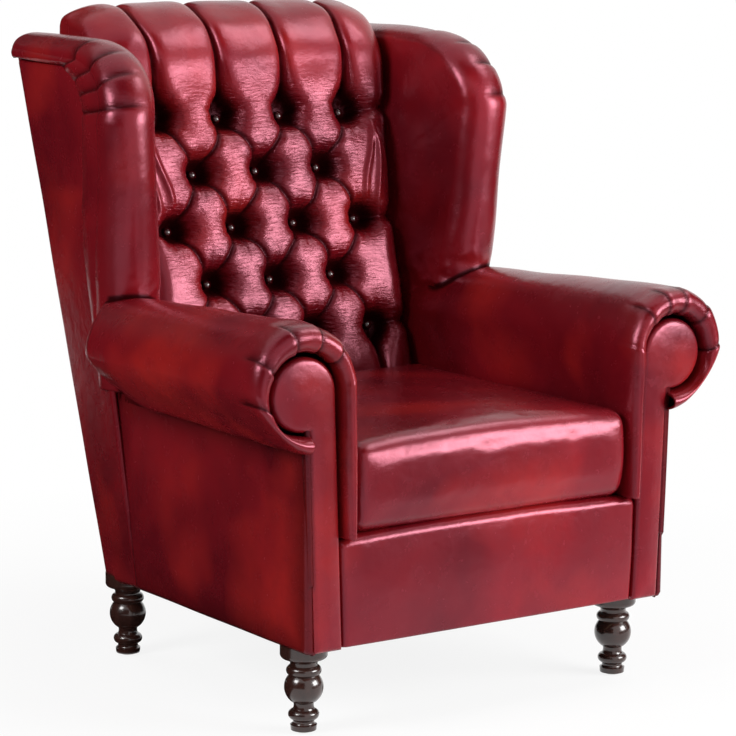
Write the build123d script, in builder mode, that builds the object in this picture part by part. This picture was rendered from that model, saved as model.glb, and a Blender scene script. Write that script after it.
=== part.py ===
from build123d import *
import os
from math import acos, asin, atan2, cos, degrees, pi, radians, sin, sqrt, tan

# A tufted leather wingback armchair on four turned feet: a beech frame, springs,
# upholstered pads and panels, and a loose seat cushion.
# Millimetres. +Z is up, the chair faces -Y, and the origin is on the floor
# under the middle of the chair's bounding box.

# Overall sizes
overall_width = 935
overall_depth = 892
overall_height = 1096
half_width = overall_width / 2
front_y = -overall_depth / 2
rear_y = overall_depth / 2

# Clearances
soft_gap = 0.3
joint_gap = 0.1
overrun = 20

# Feet, turned from one blank, and their fittings
foot_height = 141
foot_radius = 37.5
foot_front_inset = 157.5
foot_rear_inset = 163.5
foot_spacing_depth = 554
foot_set_back = 73
foot_back_clearance = 32.5
glide_radius = 12
glide_height = 3
glide_pin_radius = 1.5
glide_pin_length = 12
bolt_radius = 4
bolt_length = 76
bolt_below_share = 0.6
insert_radius = 6
insert_length = 25

# Turned outline from floor to top: (radius share, height share) of each arc's
# middle and end, or None for the middle of a straight
foot_outline_shares = [
    (None, (0.54, 0)),
    (None, (0.56, 0.06)),
    ((0.47, 0.075), (0.5, 0.12)),
    ((0.65, 0.175), (0.46, 0.235)),
    ((0.42, 0.27), (0.43, 0.31)),
    ((0.82, 0.5), (0.62, 0.63)),
    ((0.74, 0.685), (0.57, 0.74)),
    ((0.6, 0.785), (0.84, 0.82)),
    ((0.96, 0.84), (1, 0.88)),
    (None, (1, 1)),
]

# Seat frame
cover_thickness = 2
rail_thickness = 26
rail_height = 138
side_rail_inset = 120.5
side_rail_taper = 25
block_leg = 105
rear_block_leg = 62
block_height = 44
dowel_radius = 5
dowel_length = 50
dowel_spacing = 60

# Outer leather planes
body_inset = 112.5
facing_set_back = 22
facing_thickness = 15
scroll_board_thickness = 18
corner_radius = 15

# Springs and deck
spring_count = 6
spring_wire = 3.8
spring_width = 50
spring_half_loops = 20
spring_edge_inset = 48
clip_length = 20
clip_width = 34
spring_seat_height = 6.5
deck_thickness = 31

# Front border
border_height = 175
border_edge_radius = 12

# Arms
arm_width = 199.5
arm_roll_rise = 98
arm_roll_rear_half_width = 91
arm_roll_z = 560
arm_roll_rear_drop = 14
arm_roll_rear_rise = 86
arm_seam_drop = 105
arm_pad_inset = 47
arm_rear_reach = 315
ring_grow = 7
ring_edge_radius = 15
arm_board_thickness = 26
arm_board_z = 525
arm_board_overhang = 63
arm_pad_thickness = 52
arm_post_depth = 60
tuck_rail_height = 45
tuck_rail_lift = 12

# Keyhole facing on the arm fronts
disc_inset = 106.5
disc_z = 548
disc_radius = 58
neck_inner_bottom_inset = 179.5
neck_outer_bottom_inset = 127.5
neck_outer_top_inset = 113.5
neck_corner_radius = 12
facing_edge_radius = 7
facing_groove = 10
scroll_board_inset = 3

# Back
crown_lean_past_rake = 1.9
rear_overhang = 14
crest_drop = 74
crest_height = 62
outside_back_thickness = 6
back_frame_thickness = 38
post_width = 30
post_inner_bottom_inset = 201.5
post_splay = 52
post_knee_rise = 12
webbing_thickness = 2
webbing_width = 60
webbing_rows = 5
webbing_columns = 4
back_inset = 200.5
back_top_inset = 171.5
back_flare_drop = 336
back_roll_start_drop = 96
back_roll_rear_radius = 41
back_corner_radius = 28
back_tuck_z = 335
back_tuck_height = 50

# Tufting of the back
button_rows = 5
button_pitch_x = 128
button_edge_inset = 75
button_pitch_z = 92.4
button_top_drop = 187
button_radius = 11.5
button_height = 9
pit_depth = 50
button_dome = 6
groove_half_width = 41
groove_depth = 31
flute_half_width = 45
flute_depth = 28
side_pleat_half_width = 22
side_pleat_depth = 20
groove_lift = 0.6

# Wings
wing_roll_radius = 54
wing_roll_inset = 110.5
wing_lean = 7.2
wing_reach = 320
wing_reference_z = 638
wing_drop = 46
wing_corner_radius = 60
wing_foot_z = 585
wing_board_thickness = 22
wing_board_inset = 149.5
wing_board_set_back = 12
wing_inner_rear_inset = 205.5
wing_inner_run = 150
wing_roll_overlap = 5
wing_slab_rise = 36
outside_panel_thickness = 12
outside_front_bottom_inset = 112.5
outside_front_arm_inset = 110.5
outside_front_top_inset = 85.5
outside_front_bottom_reach = 361
outside_front_arm_reach = 302
outside_front_top_reach = 185
outside_rear_bottom_inset = 137.5
outside_rear_arm_inset = 118.5
outside_rear_top_inset = 81.5
outside_drop = 56

# Seat cushion
cushion_height = 127
cushion_crown = 13
cushion_crown_across = 17
cushion_draw_in = 9
cushion_overhang = 2
cushion_front_bulge = 4
cushion_top_radius = 22
cushion_corner_radius = 26
cover_leather = 3
zip_width = 18
zip_length_share = 0.8

# Places across the chair, worked in from its outer sides
seat_half_width = half_width - arm_width
body_half_width = half_width - body_inset
side_rail_half_width = half_width - side_rail_inset
foot_front_x = half_width - foot_front_inset
foot_rear_x = half_width - foot_rear_inset
disc_x = half_width - disc_inset
neck_inner_bottom_x = half_width - neck_inner_bottom_inset
neck_outer_bottom_x = half_width - neck_outer_bottom_inset
neck_outer_top_x = half_width - neck_outer_top_inset
post_inner_bottom_x = half_width - post_inner_bottom_inset
back_half_width = half_width - back_inset
back_top_half_width = half_width - back_top_inset
wing_roll_x = half_width - wing_roll_inset
wing_board_x = half_width - wing_board_inset
wing_inner_rear_x = half_width - wing_inner_rear_inset
outside_front_x_bottom = half_width - outside_front_bottom_inset
outside_front_x_arm = half_width - outside_front_arm_inset
outside_front_x_top = half_width - outside_front_top_inset
outside_rear_x_bottom = half_width - outside_rear_bottom_inset
outside_rear_x_arm = half_width - outside_rear_arm_inset
outside_rear_x_top = half_width - outside_rear_top_inset
spring_pitch_across = 2 * (seat_half_width - spring_edge_inset) / (spring_count - 1)
button_columns = round(2 * (back_half_width - button_edge_inset) / button_pitch_x) + 1

# Heights worked up from the floor and down from the top
rail_bottom_z = foot_height + cover_thickness
rail_top_z = rail_bottom_z + rail_height
deck_bottom_z = rail_top_z + spring_seat_height
deck_top_z = deck_bottom_z + deck_thickness
seam_z = arm_roll_z - arm_seam_drop
crest_top_z = overall_height - crest_drop
back_flare_z = overall_height - back_flare_drop
back_roll_start_z = overall_height - back_roll_start_drop
button_top_z = overall_height - button_top_drop
wing_top_z = overall_height - wing_drop
outside_top_z = overall_height - outside_drop

# Depths worked back from the front and forwards from the rear
facing_y = front_y + facing_set_back
scroll_board_y = facing_y + facing_thickness
rail_front_y = scroll_board_y + scroll_board_thickness
front_rail_rear_y = rail_front_y + rail_thickness
arm_pad_front_y = front_y + arm_pad_inset
arm_pad_rear_y = rear_y - arm_rear_reach
arm_inner_x = seat_half_width + soft_gap
arm_outer_frame_x = arm_inner_x + arm_pad_thickness
arm_roll_half_width = (half_width - ring_grow - arm_inner_x) / 2
foot_front_y = facing_y + foot_set_back
foot_rear_y = foot_front_y + foot_spacing_depth
outside_front_y_bottom = rear_y - outside_front_bottom_reach
outside_front_y_arm = rear_y - outside_front_arm_reach
outside_front_y_top = rear_y - outside_front_top_reach

# The back leans from the top of the crest to just behind the rear feet
rake_run = rear_y - rear_overhang - foot_rear_y - foot_back_clearance
rake = atan2(rake_run, crest_top_z - rail_bottom_z)


def rear_plane_y(z):
    """The outer face of the outside back at a height."""
    return rear_y - rear_overhang - (crest_top_z - z) * tan(rake)


def frame_depth_y(z, depth):
    """A plane parallel to the outside back, some depth in front of it."""
    return rear_plane_y(z) - depth / cos(rake)


back_frame_front = outside_back_thickness + back_frame_thickness
pad_rear_depth = back_frame_front + 2 * webbing_thickness + soft_gap
lean = rake + radians(crown_lean_past_rake)
back_roll_radius = (overall_height - back_roll_start_z) / (1 - sin(lean))
back_roll_top_y = rear_y - back_roll_rear_radius
back_roll_start_y = back_roll_top_y - back_roll_radius * cos(lean)


def crown_y(z):
    """The front of the back pad, before its tufts, at a height."""
    return back_roll_start_y - (back_roll_start_z - z) * tan(lean)


def side_outer_x(y):
    """The outer face of a side rail, which draws in towards the rear."""
    return side_rail_half_width - side_rail_taper * (y - rail_front_y) / foot_spacing_depth


def side_inner_x(y):
    return side_outer_x(y) - rail_thickness


def wing_axis_y(z):
    """The middle of a wing's front roll, which leans forwards as it rises."""
    return rear_y - wing_reach - (z - wing_reference_z) * tan(radians(wing_lean))


def cross_plane(y):
    """A plane across the chair, seen from the front, with local y up."""
    return Plane.XZ.offset(-y)


back_plane = Plane(
    origin=(0, rear_plane_y(foot_height), foot_height),
    x_dir=(1, 0, 0),
    z_dir=(0, -cos(rake), sin(rake)),
)
crown_plane = Plane(
    origin=(0, crown_y(button_top_z), button_top_z),
    x_dir=(1, 0, 0),
    z_dir=(0, -cos(lean), sin(lean)),
)


def up_back(z):
    """Distance up the raked back plane to a height."""
    return (z - foot_height) / cos(rake)


pieces = {}

# Feet
foot_places = [
    ("foot_front_left", -foot_front_x, foot_front_y),
    ("foot_front_right", foot_front_x, foot_front_y),
    ("foot_rear_left", -foot_rear_x, foot_rear_y),
    ("foot_rear_right", foot_rear_x, foot_rear_y),
]
foot_centres = [(x, y) for _, x, y in foot_places]
foot_turned_height = rail_bottom_z - glide_height
bolt_bottom_z = rail_bottom_z - bolt_length * bolt_below_share


def turned_foot(x, y):
    """One turned foot with its bolt hole, standing on its glide."""
    def at(share):
        return (x + foot_radius * share[0], glide_height + foot_turned_height * share[1])

    with BuildPart() as foot:
        with BuildSketch(cross_plane(y)):
            with BuildLine():
                last = (x, glide_height)
                for middle, end in foot_outline_shares:
                    if middle is None:
                        Line(last, at(end))
                    else:
                        ThreePointArc(last, at(middle), at(end))
                    last = at(end)
                Line(last, (x, rail_bottom_z))
                Line((x, rail_bottom_z), (x, glide_height))
            make_face()
        revolve(axis=Axis((x, y, 0), (0, 0, 1)))
        with BuildSketch(Plane.XY.offset(bolt_bottom_z - joint_gap)):
            with Locations((x, y)):
                Circle(bolt_radius + joint_gap)
        extrude(amount=foot_height, mode=Mode.SUBTRACT)
        with BuildSketch(Plane.XY):
            with Locations((x, y)):
                Circle(glide_pin_radius)
        extrude(amount=glide_height + glide_pin_length, mode=Mode.SUBTRACT)
    return foot


for foot_name, foot_x, foot_y in foot_places:
    pieces[foot_name] = turned_foot(foot_x, foot_y)

with BuildPart() as foot_glides:
    with BuildSketch(Plane.XY):
        with Locations(*foot_centres):
            Circle(glide_radius)
    extrude(amount=glide_height)
    with BuildSketch(Plane.XY):
        with Locations(*foot_centres):
            Circle(glide_pin_radius)
    extrude(amount=glide_height + glide_pin_length)
pieces["foot_glides"] = foot_glides

with BuildPart() as foot_bolts:
    with BuildSketch(Plane.XY.offset(bolt_bottom_z)):
        with Locations(*foot_centres):
            Circle(bolt_radius)
    extrude(amount=bolt_length)
pieces["foot_bolts"] = foot_bolts

with BuildPart() as foot_inserts:
    with BuildSketch(Plane.XY.offset(rail_bottom_z)):
        with Locations(*foot_centres):
            Circle(insert_radius)
            Circle(bolt_radius + joint_gap, mode=Mode.SUBTRACT)
    extrude(amount=insert_length)
pieces["foot_inserts"] = foot_inserts

# The room that bolts and inserts take in the seat frame
with BuildPart() as foot_bores:
    with BuildSketch(Plane.XY.offset(rail_bottom_z)):
        with Locations(*foot_centres):
            Circle(insert_radius)
    extrude(amount=insert_length)
    with BuildSketch(Plane.XY.offset(rail_bottom_z)):
        with Locations(*foot_centres):
            Circle(bolt_radius + joint_gap)
    extrude(amount=bolt_length)

# Dowels in the seat and back frames
rail_middle_z = rail_bottom_z + rail_height / 2
rear_rail_depth = outside_back_thickness + rail_thickness / 2
crest_middle_z = crest_top_z - crest_height / 2
tuck_middle_z = back_tuck_z + back_tuck_height / 2
frame_middle_depth = outside_back_thickness + back_frame_thickness / 2


def post_inner_x(z):
    """The inner face of a rear post: upright by the seat, then splayed."""
    knee_z = rail_top_z + post_knee_rise
    rise = max(z - knee_z, 0) / (crest_top_z - knee_z)
    return post_inner_bottom_x + post_splay * rise


dowel_rows = [
    (side_inner_x(rail_front_y), rail_front_y + rail_thickness / 2, rail_middle_z, dowel_spacing),
    (post_inner_bottom_x, frame_depth_y(rail_middle_z, rear_rail_depth), rail_middle_z, 0),
    (post_inner_x(crest_middle_z), frame_depth_y(crest_middle_z, frame_middle_depth),
     crest_middle_z, 0),
    (post_inner_x(tuck_middle_z), frame_depth_y(tuck_middle_z, frame_middle_depth),
     tuck_middle_z, 0),
]
arm_dowel_places = [
    (side * (side_outer_x(rail_front_y + along) - rail_thickness / 2), rail_front_y + along)
    for side in (-1, 1)
    for along in (arm_post_depth / 4, arm_post_depth * 3 / 4)
]

with BuildPart() as frame_dowels:
    for dowel_x, dowel_y, dowel_z, spread in dowel_rows:
        heights = [dowel_z - spread / 2, dowel_z + spread / 2] if spread else [dowel_z]
        for side in (-1, 1):
            with BuildSketch(Plane.YZ.offset(side * dowel_x)):
                with Locations(*[(dowel_y, height) for height in heights]):
                    Circle(dowel_radius)
            extrude(amount=dowel_length / 2, both=True)
    with BuildSketch(Plane.XY.offset(rail_top_z - dowel_length / 2)):
        with Locations(*arm_dowel_places):
            Circle(dowel_radius)
    extrude(amount=dowel_length)
pieces["frame_dowels"] = frame_dowels

# Seat rails
with BuildPart() as seat_rail_front:
    with BuildSketch(Plane.XY.offset(rail_bottom_z)):
        front_end_x = side_inner_x(rail_front_y)
        rear_end_x = side_inner_x(front_rail_rear_y)
        Polygon(
            (-front_end_x, rail_front_y), (front_end_x, rail_front_y),
            (rear_end_x, front_rail_rear_y), (-rear_end_x, front_rail_rear_y), align=None,
        )
    extrude(amount=rail_height)
    add(frame_dowels.part, mode=Mode.SUBTRACT)
pieces["seat_rail_front"] = seat_rail_front

side_rail_rear_y = frame_depth_y(rail_bottom_z, outside_back_thickness)

with BuildPart() as seat_rail_right:
    with BuildSketch(Plane.XY.offset(rail_bottom_z)):
        Polygon(
            (side_inner_x(rail_front_y), rail_front_y),
            (side_outer_x(rail_front_y), rail_front_y),
            (side_outer_x(side_rail_rear_y), side_rail_rear_y),
            (side_inner_x(side_rail_rear_y), side_rail_rear_y), align=None,
        )
    extrude(amount=rail_height)
    add(frame_dowels.part, mode=Mode.SUBTRACT)
    add(foot_bores.part, mode=Mode.SUBTRACT)
pieces["seat_rail_right"] = seat_rail_right

with BuildPart() as seat_rail_rear:
    with BuildSketch(back_plane.offset(outside_back_thickness)):
        with Locations((0, up_back(rail_middle_z))):
            Rectangle(2 * post_inner_bottom_x, rail_height + 2 * overrun)
    extrude(amount=rail_thickness)
    with BuildSketch(Plane.XY.offset(rail_bottom_z)):
        with Locations((0, rear_plane_y(rail_middle_z))):
            Rectangle(overall_width, overall_depth)
    extrude(amount=rail_height, mode=Mode.INTERSECT)
    add(frame_dowels.part, mode=Mode.SUBTRACT)
pieces["seat_rail_rear"] = seat_rail_rear

# Corner blocks
post_front_y = frame_depth_y(rail_bottom_z, back_frame_front)
with BuildPart() as corner_blocks:
    for side in (-1, 1):
        with BuildSketch(Plane.XY.offset(rail_bottom_z)):
            corner_x = side_inner_x(front_rail_rear_y)
            Polygon(
                (side * corner_x, front_rail_rear_y),
                (side * side_inner_x(front_rail_rear_y + block_leg), front_rail_rear_y + block_leg),
                (side * (corner_x - block_leg), front_rail_rear_y), align=None,
            )
            rear_x = side_inner_x(post_front_y)
            Polygon(
                (side * rear_x, post_front_y),
                (side * side_inner_x(post_front_y - rear_block_leg), post_front_y - rear_block_leg),
                (side * (rear_x - rear_block_leg), post_front_y), align=None,
            )
        extrude(amount=block_height)
    add(foot_bores.part, mode=Mode.SUBTRACT)
pieces["corner_blocks"] = corner_blocks

# Rear posts, which rise from the seat frame to the crest
with BuildPart() as rear_post_right:
    with BuildSketch(back_plane.offset(outside_back_thickness)):
        knee_z = rail_top_z + post_knee_rise
        top_x = post_inner_x(crest_top_z)
        Polygon(
            (post_inner_bottom_x, up_back(rail_bottom_z) - overrun),
            (post_inner_bottom_x + post_width, up_back(rail_bottom_z) - overrun),
            (post_inner_bottom_x + post_width, up_back(knee_z)),
            (top_x + post_width, up_back(crest_top_z)),
            (top_x, up_back(crest_top_z)),
            (post_inner_bottom_x, up_back(knee_z)), align=None,
        )
    extrude(amount=back_frame_thickness)
    split(bisect_by=Plane.XY.offset(rail_bottom_z), keep=Keep.TOP)
    add(frame_dowels.part, mode=Mode.SUBTRACT)
    add(seat_rail_right.part, mode=Mode.SUBTRACT)
pieces["rear_post_right"] = rear_post_right

with BuildPart() as rear_post_left:
    mirror(rear_post_right.part, about=Plane.YZ)
pieces["rear_post_left"] = rear_post_left


def back_rail(bottom_z, top_z):
    """A rail between the rear posts, with ends cut to their splay."""
    with BuildPart() as rail:
        with BuildSketch(back_plane.offset(outside_back_thickness)):
            Polygon(
                (-post_inner_x(bottom_z), up_back(bottom_z)),
                (post_inner_x(bottom_z), up_back(bottom_z)),
                (post_inner_x(top_z), up_back(top_z)),
                (-post_inner_x(top_z), up_back(top_z)), align=None,
            )
        extrude(amount=back_frame_thickness)
        add(frame_dowels.part, mode=Mode.SUBTRACT)
    return rail


crest_rail = back_rail(crest_top_z - crest_height, crest_top_z)
pieces["crest_rail"] = crest_rail
back_tuck_rail = back_rail(back_tuck_z, back_tuck_z + back_tuck_height)
pieces["back_tuck_rail"] = back_tuck_rail

# Webbing, five bands across and four up and down
with BuildPart() as back_webbing:
    webbing_low_z = back_tuck_z + back_tuck_height + webbing_width
    webbing_high_z = crest_top_z - crest_height - webbing_width
    with BuildSketch(back_plane.offset(back_frame_front)):
        for row in range(webbing_rows):
            row_z = webbing_low_z + (webbing_high_z - webbing_low_z) * row / (webbing_rows - 1)
            with Locations((0, up_back(row_z))):
                Rectangle(2 * post_inner_x(row_z) + post_width, webbing_width)
    extrude(amount=webbing_thickness)
    with BuildSketch(back_plane.offset(back_frame_front + webbing_thickness)):
        column_length = up_back(crest_middle_z) - up_back(tuck_middle_z)
        with Locations((0, up_back(tuck_middle_z) + column_length / 2)):
            with GridLocations(2 * webbing_width, column_length, webbing_columns, 1):
                Rectangle(webbing_width, column_length)
    extrude(amount=webbing_thickness)
pieces["back_webbing"] = back_webbing


# Arm frames
def keyhole(grow):
    """The arm facing's outline: a disc on a neck, grown all round by an amount."""
    radius = disc_radius + grow
    inner = Vector(neck_inner_bottom_x - grow, rail_bottom_z)
    outer = Vector(neck_outer_bottom_x + grow, rail_bottom_z)
    centre = Vector(disc_x, disc_z)
    to_inner = inner - centre
    swing = atan2(to_inner.Y, to_inner.X) - acos(radius / to_inner.length)
    touch = centre + Vector(cos(swing), sin(swing)) * radius
    edge = (Vector(neck_outer_top_x + grow, disc_z) - outer).normalized()
    along = (centre - outer).dot(edge)
    aside = (centre - outer - edge * along).length
    join = outer + edge * (along - sqrt(radius**2 - aside**2))
    with BuildSketch() as outline:
        with BuildLine():
            Line(inner, touch)
            ThreePointArc(touch, centre + Vector(0, radius), join)
            Line(join, outer)
            Line(outer, inner)
        make_face()
        fillet(outline.vertices().sort_by_distance(join)[0], radius=neck_corner_radius)
    return outline.sketch


with BuildPart() as scroll_board_right:
    with BuildSketch(cross_plane(rail_front_y)):
        add(keyhole(-scroll_board_inset))
    extrude(amount=scroll_board_thickness)
pieces["scroll_board_right"] = scroll_board_right

with BuildPart() as arm_post_right:
    with BuildSketch(Plane.XY.offset(rail_top_z)):
        post_rear_y = rail_front_y + arm_post_depth
        Polygon(
            (side_inner_x(rail_front_y), rail_front_y),
            (side_outer_x(rail_front_y), rail_front_y),
            (side_outer_x(post_rear_y), post_rear_y),
            (side_inner_x(post_rear_y), post_rear_y), align=None,
        )
    extrude(amount=arm_board_z - rail_top_z)
    add(frame_dowels.part, mode=Mode.SUBTRACT)
pieces["arm_post_right"] = arm_post_right

arm_board_rear_y = frame_depth_y(arm_board_z, back_frame_front)
with BuildPart() as arm_rail_right:
    with BuildSketch(Plane.XY.offset(arm_board_z)):
        notch_x = outside_rear_x_arm - outside_panel_thickness - soft_gap
        Polygon(
            (arm_outer_frame_x, rail_front_y),
            (side_rail_half_width + arm_board_overhang, rail_front_y),
            (side_rail_half_width + arm_board_overhang, outside_front_y_arm - arm_board_overhang),
            (notch_x, outside_front_y_arm),
            (notch_x, arm_board_rear_y),
            (post_inner_x(arm_board_z), arm_board_rear_y), align=None,
        )
    extrude(amount=arm_board_thickness)
pieces["arm_rail_right"] = arm_rail_right

tuck_rail_z = deck_top_z + tuck_rail_lift
with BuildPart() as arm_tuck_rail_right:
    with BuildSketch(Plane.XY.offset(tuck_rail_z)):
        tuck_front_y = rail_front_y + arm_post_depth
        tuck_rear_y = frame_depth_y(tuck_rail_z, back_frame_front)
        Polygon(
            (side_inner_x(tuck_front_y), tuck_front_y),
            (side_outer_x(tuck_front_y), tuck_front_y),
            (side_outer_x(tuck_rear_y), tuck_rear_y),
            (side_inner_x(tuck_rear_y), tuck_rear_y), align=None,
        )
    extrude(amount=tuck_rail_height)
pieces["arm_tuck_rail_right"] = arm_tuck_rail_right

# Wing boards, which stand on the arm rails and carry the wings
board_bottom_z = arm_board_z + arm_board_thickness
board_top_z = wing_top_z - wing_roll_radius
with BuildPart() as wing_board_right:
    with BuildSketch(Plane.YZ.offset(wing_board_x)):
        board_front_bottom_y = wing_axis_y(board_bottom_z) + wing_board_set_back
        board_front_top_y = wing_axis_y(board_top_z) + wing_board_set_back
        Polygon(
            (board_front_bottom_y, board_bottom_z),
            (frame_depth_y(board_bottom_z, back_frame_front), board_bottom_z),
            (frame_depth_y(board_top_z, back_frame_front), board_top_z),
            (board_front_top_y + wing_corner_radius, board_top_z),
            (board_front_top_y, board_top_z - wing_corner_radius), align=None,
        )
    extrude(amount=wing_board_thickness)
    add(back_webbing.part, mode=Mode.SUBTRACT)
pieces["wing_board_right"] = wing_board_right


# Outside panels of leather over padding
def outside_strip(z, front_x, front_y_here, rear_x):
    """The outside wing's section at a height, from its front seam to the rear corner."""
    rear_y_here = frame_depth_y(z, outside_back_thickness)
    with BuildSketch(Plane.XY.offset(z)) as strip:
        Polygon(
            (front_x, front_y_here),
            (rear_x, rear_y_here),
            (rear_x - outside_panel_thickness, rear_y_here),
            (front_x - outside_panel_thickness, front_y_here), align=None,
        )
    return strip.sketch


with BuildPart() as wing_roll_form:
    with BuildLine() as roll_path:
        roll_foot = (wing_roll_x, wing_axis_y(wing_foot_z), wing_foot_z)
        roll_corner = (wing_roll_x, wing_axis_y(board_top_z), board_top_z)
        roll_rear = (wing_roll_x, rear_plane_y(board_top_z) + overrun, board_top_z)
        FilletPolyline(roll_foot, roll_corner, roll_rear, radius=wing_corner_radius)
    roll_start = Plane(
        origin=roll_foot,
        x_dir=(1, 0, 0),
        z_dir=(0, -sin(radians(wing_lean)), cos(radians(wing_lean))),
    )
    with BuildSketch(roll_start):
        Circle(wing_roll_radius)
    sweep(path=roll_path.wires()[0])

with BuildPart() as outside_wing_right:
    strip_sections = [
        outside_strip(rail_bottom_z, outside_front_x_bottom,
                      outside_front_y_bottom, outside_rear_x_bottom),
        outside_strip(seam_z, outside_front_x_arm,
                      outside_front_y_arm, outside_rear_x_arm),
        outside_strip(outside_top_z, outside_front_x_top,
                      outside_front_y_top, outside_rear_x_top),
    ]
    loft(sections=strip_sections, ruled=True)
    add(wing_roll_form.part, mode=Mode.SUBTRACT)
    add(seat_rail_right.part, mode=Mode.SUBTRACT)
    add(arm_rail_right.part, mode=Mode.SUBTRACT)
    add(rear_post_right.part, mode=Mode.SUBTRACT)
    add(wing_board_right.part, mode=Mode.SUBTRACT)
pieces["outside_wing_right"] = outside_wing_right

crest_share = (crest_top_z - seam_z) / (outside_top_z - seam_z)
with BuildPart() as outside_back:
    with BuildSketch(back_plane):
        crest_x = outside_rear_x_arm + crest_share * (outside_rear_x_top - outside_rear_x_arm)
        back_outline = [
            (outside_rear_x_bottom, rail_bottom_z),
            (outside_rear_x_arm, seam_z),
            (crest_x, crest_top_z),
        ]
        right_edge = [(x, up_back(z)) for x, z in back_outline]
        Polygon(*right_edge, *[(-x, v) for x, v in reversed(right_edge)], align=None)
    extrude(amount=outside_back_thickness)
pieces["outside_back"] = outside_back

# Arm facings and the leather outside the arms
with BuildPart() as arm_facing_right:
    with BuildSketch(cross_plane(scroll_board_y)):
        add(keyhole(0))
    extrude(amount=facing_thickness)
    fillet(arm_facing_right.faces().sort_by(Axis.Y)[0].edges(), radius=facing_edge_radius)
pieces["arm_facing_right"] = arm_facing_right

with BuildPart() as outside_arm_right:
    with BuildSketch(Plane.XY.offset(rail_bottom_z)) as side_plan:
        seam_y = outside_front_y_arm + overrun
        Polygon(
            (body_half_width, seam_y),
            (body_half_width, facing_y),
            (neck_outer_bottom_x - overrun, facing_y),
            (neck_outer_bottom_x - overrun, rail_front_y),
            (side_rail_half_width, rail_front_y),
            (side_outer_x(seam_y), seam_y), align=None,
        )
        fillet(
            side_plan.vertices().sort_by_distance(Vector(body_half_width, facing_y))[0],
            radius=corner_radius,
        )
    extrude(amount=arm_board_z - rail_bottom_z)
    with BuildSketch(cross_plane(rail_front_y)):
        add(keyhole(0))
    extrude(amount=facing_thickness + scroll_board_thickness, mode=Mode.SUBTRACT)
    with BuildSketch(Plane.YZ):
        seam_slope = (outside_front_y_arm - outside_front_y_bottom) / (seam_z - rail_bottom_z)
        seam_top_y = outside_front_y_arm + seam_slope * (arm_board_z - seam_z)
        Polygon(
            (outside_front_y_bottom, rail_bottom_z),
            (seam_top_y, arm_board_z),
            (rear_y, arm_board_z),
            (rear_y, rail_bottom_z), align=None,
        )
    extrude(amount=overall_width, mode=Mode.SUBTRACT)
pieces["outside_arm_right"] = outside_arm_right

# Front border under the cushion
with BuildPart() as front_border:
    with BuildSketch(cross_plane(rail_front_y)):
        border_top_z = rail_bottom_z + border_height
        border_rise = border_height / (disc_z - rail_bottom_z)
        border_top_x = neck_inner_bottom_x + border_rise * (
            disc_x - disc_radius - neck_inner_bottom_x
        )
        Polygon(
            (-neck_inner_bottom_x + soft_gap, rail_bottom_z),
            (neck_inner_bottom_x - soft_gap, rail_bottom_z),
            (border_top_x - soft_gap, border_top_z),
            (-border_top_x + soft_gap, border_top_z), align=None,
        )
    extrude(amount=rail_front_y - facing_y)
    fillet(
        front_border.edges().filter_by(Axis.X).group_by(Axis.Z)[-1].sort_by(Axis.Y)[0],
        radius=border_edge_radius,
    )
pieces["front_border"] = front_border


# The back pad before tufting: a leaning front that rolls over the crest
pad_bottom_z = deck_top_z + soft_gap
with BuildPart() as back_block:
    with BuildSketch(Plane.YZ):
        with BuildLine():
            roll_start_point = (back_roll_start_y, back_roll_start_z)
            roll_top_point = (back_roll_top_y, overall_height)
            roll_end_point = (rear_y, overall_height - back_roll_rear_radius)
            heel_point = (rear_y, crest_top_z + cover_thickness)
            crest_point = (frame_depth_y(crest_top_z, pad_rear_depth), crest_top_z + cover_thickness)
            pad_rear_point = (frame_depth_y(pad_bottom_z, pad_rear_depth), pad_bottom_z)
            pad_front_point = (crown_y(pad_bottom_z), pad_bottom_z)
            Line(pad_front_point, roll_start_point)
            TangentArc(roll_start_point, roll_top_point, tangent=(sin(lean), cos(lean)))
            TangentArc(roll_top_point, roll_end_point, tangent=(1, 0))
            Line(roll_end_point, heel_point)
            Line(heel_point, crest_point)
            Line(crest_point, pad_rear_point)
            Line(pad_rear_point, pad_front_point)
        make_face()
    extrude(amount=back_top_half_width, both=True)
    with BuildSketch(cross_plane(0)) as front_view:
        pad_edge = [
            (back_half_width, pad_bottom_z),
            (back_half_width, back_flare_z),
            (back_top_half_width, back_roll_start_z),
            (back_top_half_width, overall_height),
        ]
        Polygon(*pad_edge, *[(-x, z) for x, z in reversed(pad_edge)], align=None)
        fillet(
            front_view.vertices().group_by(Axis.Y)[-1], radius=back_corner_radius,
        )
    extrude(amount=overall_depth, both=True, mode=Mode.INTERSECT)


# Arm pads and their gathered fronts
def arm_section(plane, half_width, roll_z, roll_rise, bottom_z, frame_x, outer_x):
    """An arm across its length: an upright inner side, a rolled top and its underside."""
    middle_x = arm_inner_x + half_width
    diagonal = sqrt(1 / 2)
    under_width = middle_x + half_width - outer_x
    under_depth = roll_z - bottom_z
    with BuildSketch(plane) as section:
        with BuildLine():
            Line((arm_inner_x, deck_top_z + soft_gap), (arm_inner_x, roll_z))
            ThreePointArc(
                (arm_inner_x, roll_z),
                (middle_x - half_width * diagonal, roll_z + roll_rise * diagonal),
                (middle_x, roll_z + roll_rise),
            )
            ThreePointArc(
                (middle_x, roll_z + roll_rise),
                (middle_x + half_width * diagonal, roll_z + roll_rise * diagonal),
                (middle_x + half_width, roll_z),
            )
            ThreePointArc(
                (middle_x + half_width, roll_z),
                (outer_x + under_width * diagonal, roll_z - under_depth * diagonal),
                (outer_x, bottom_z),
            )
            Line((outer_x, bottom_z), (outer_x, arm_board_z))
            Line((outer_x, arm_board_z), (frame_x, arm_board_z))
            Line((frame_x, arm_board_z), (frame_x, deck_top_z + soft_gap))
            Line((frame_x, deck_top_z + soft_gap), (arm_inner_x, deck_top_z + soft_gap))
        make_face()
    return section.sketch


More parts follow.
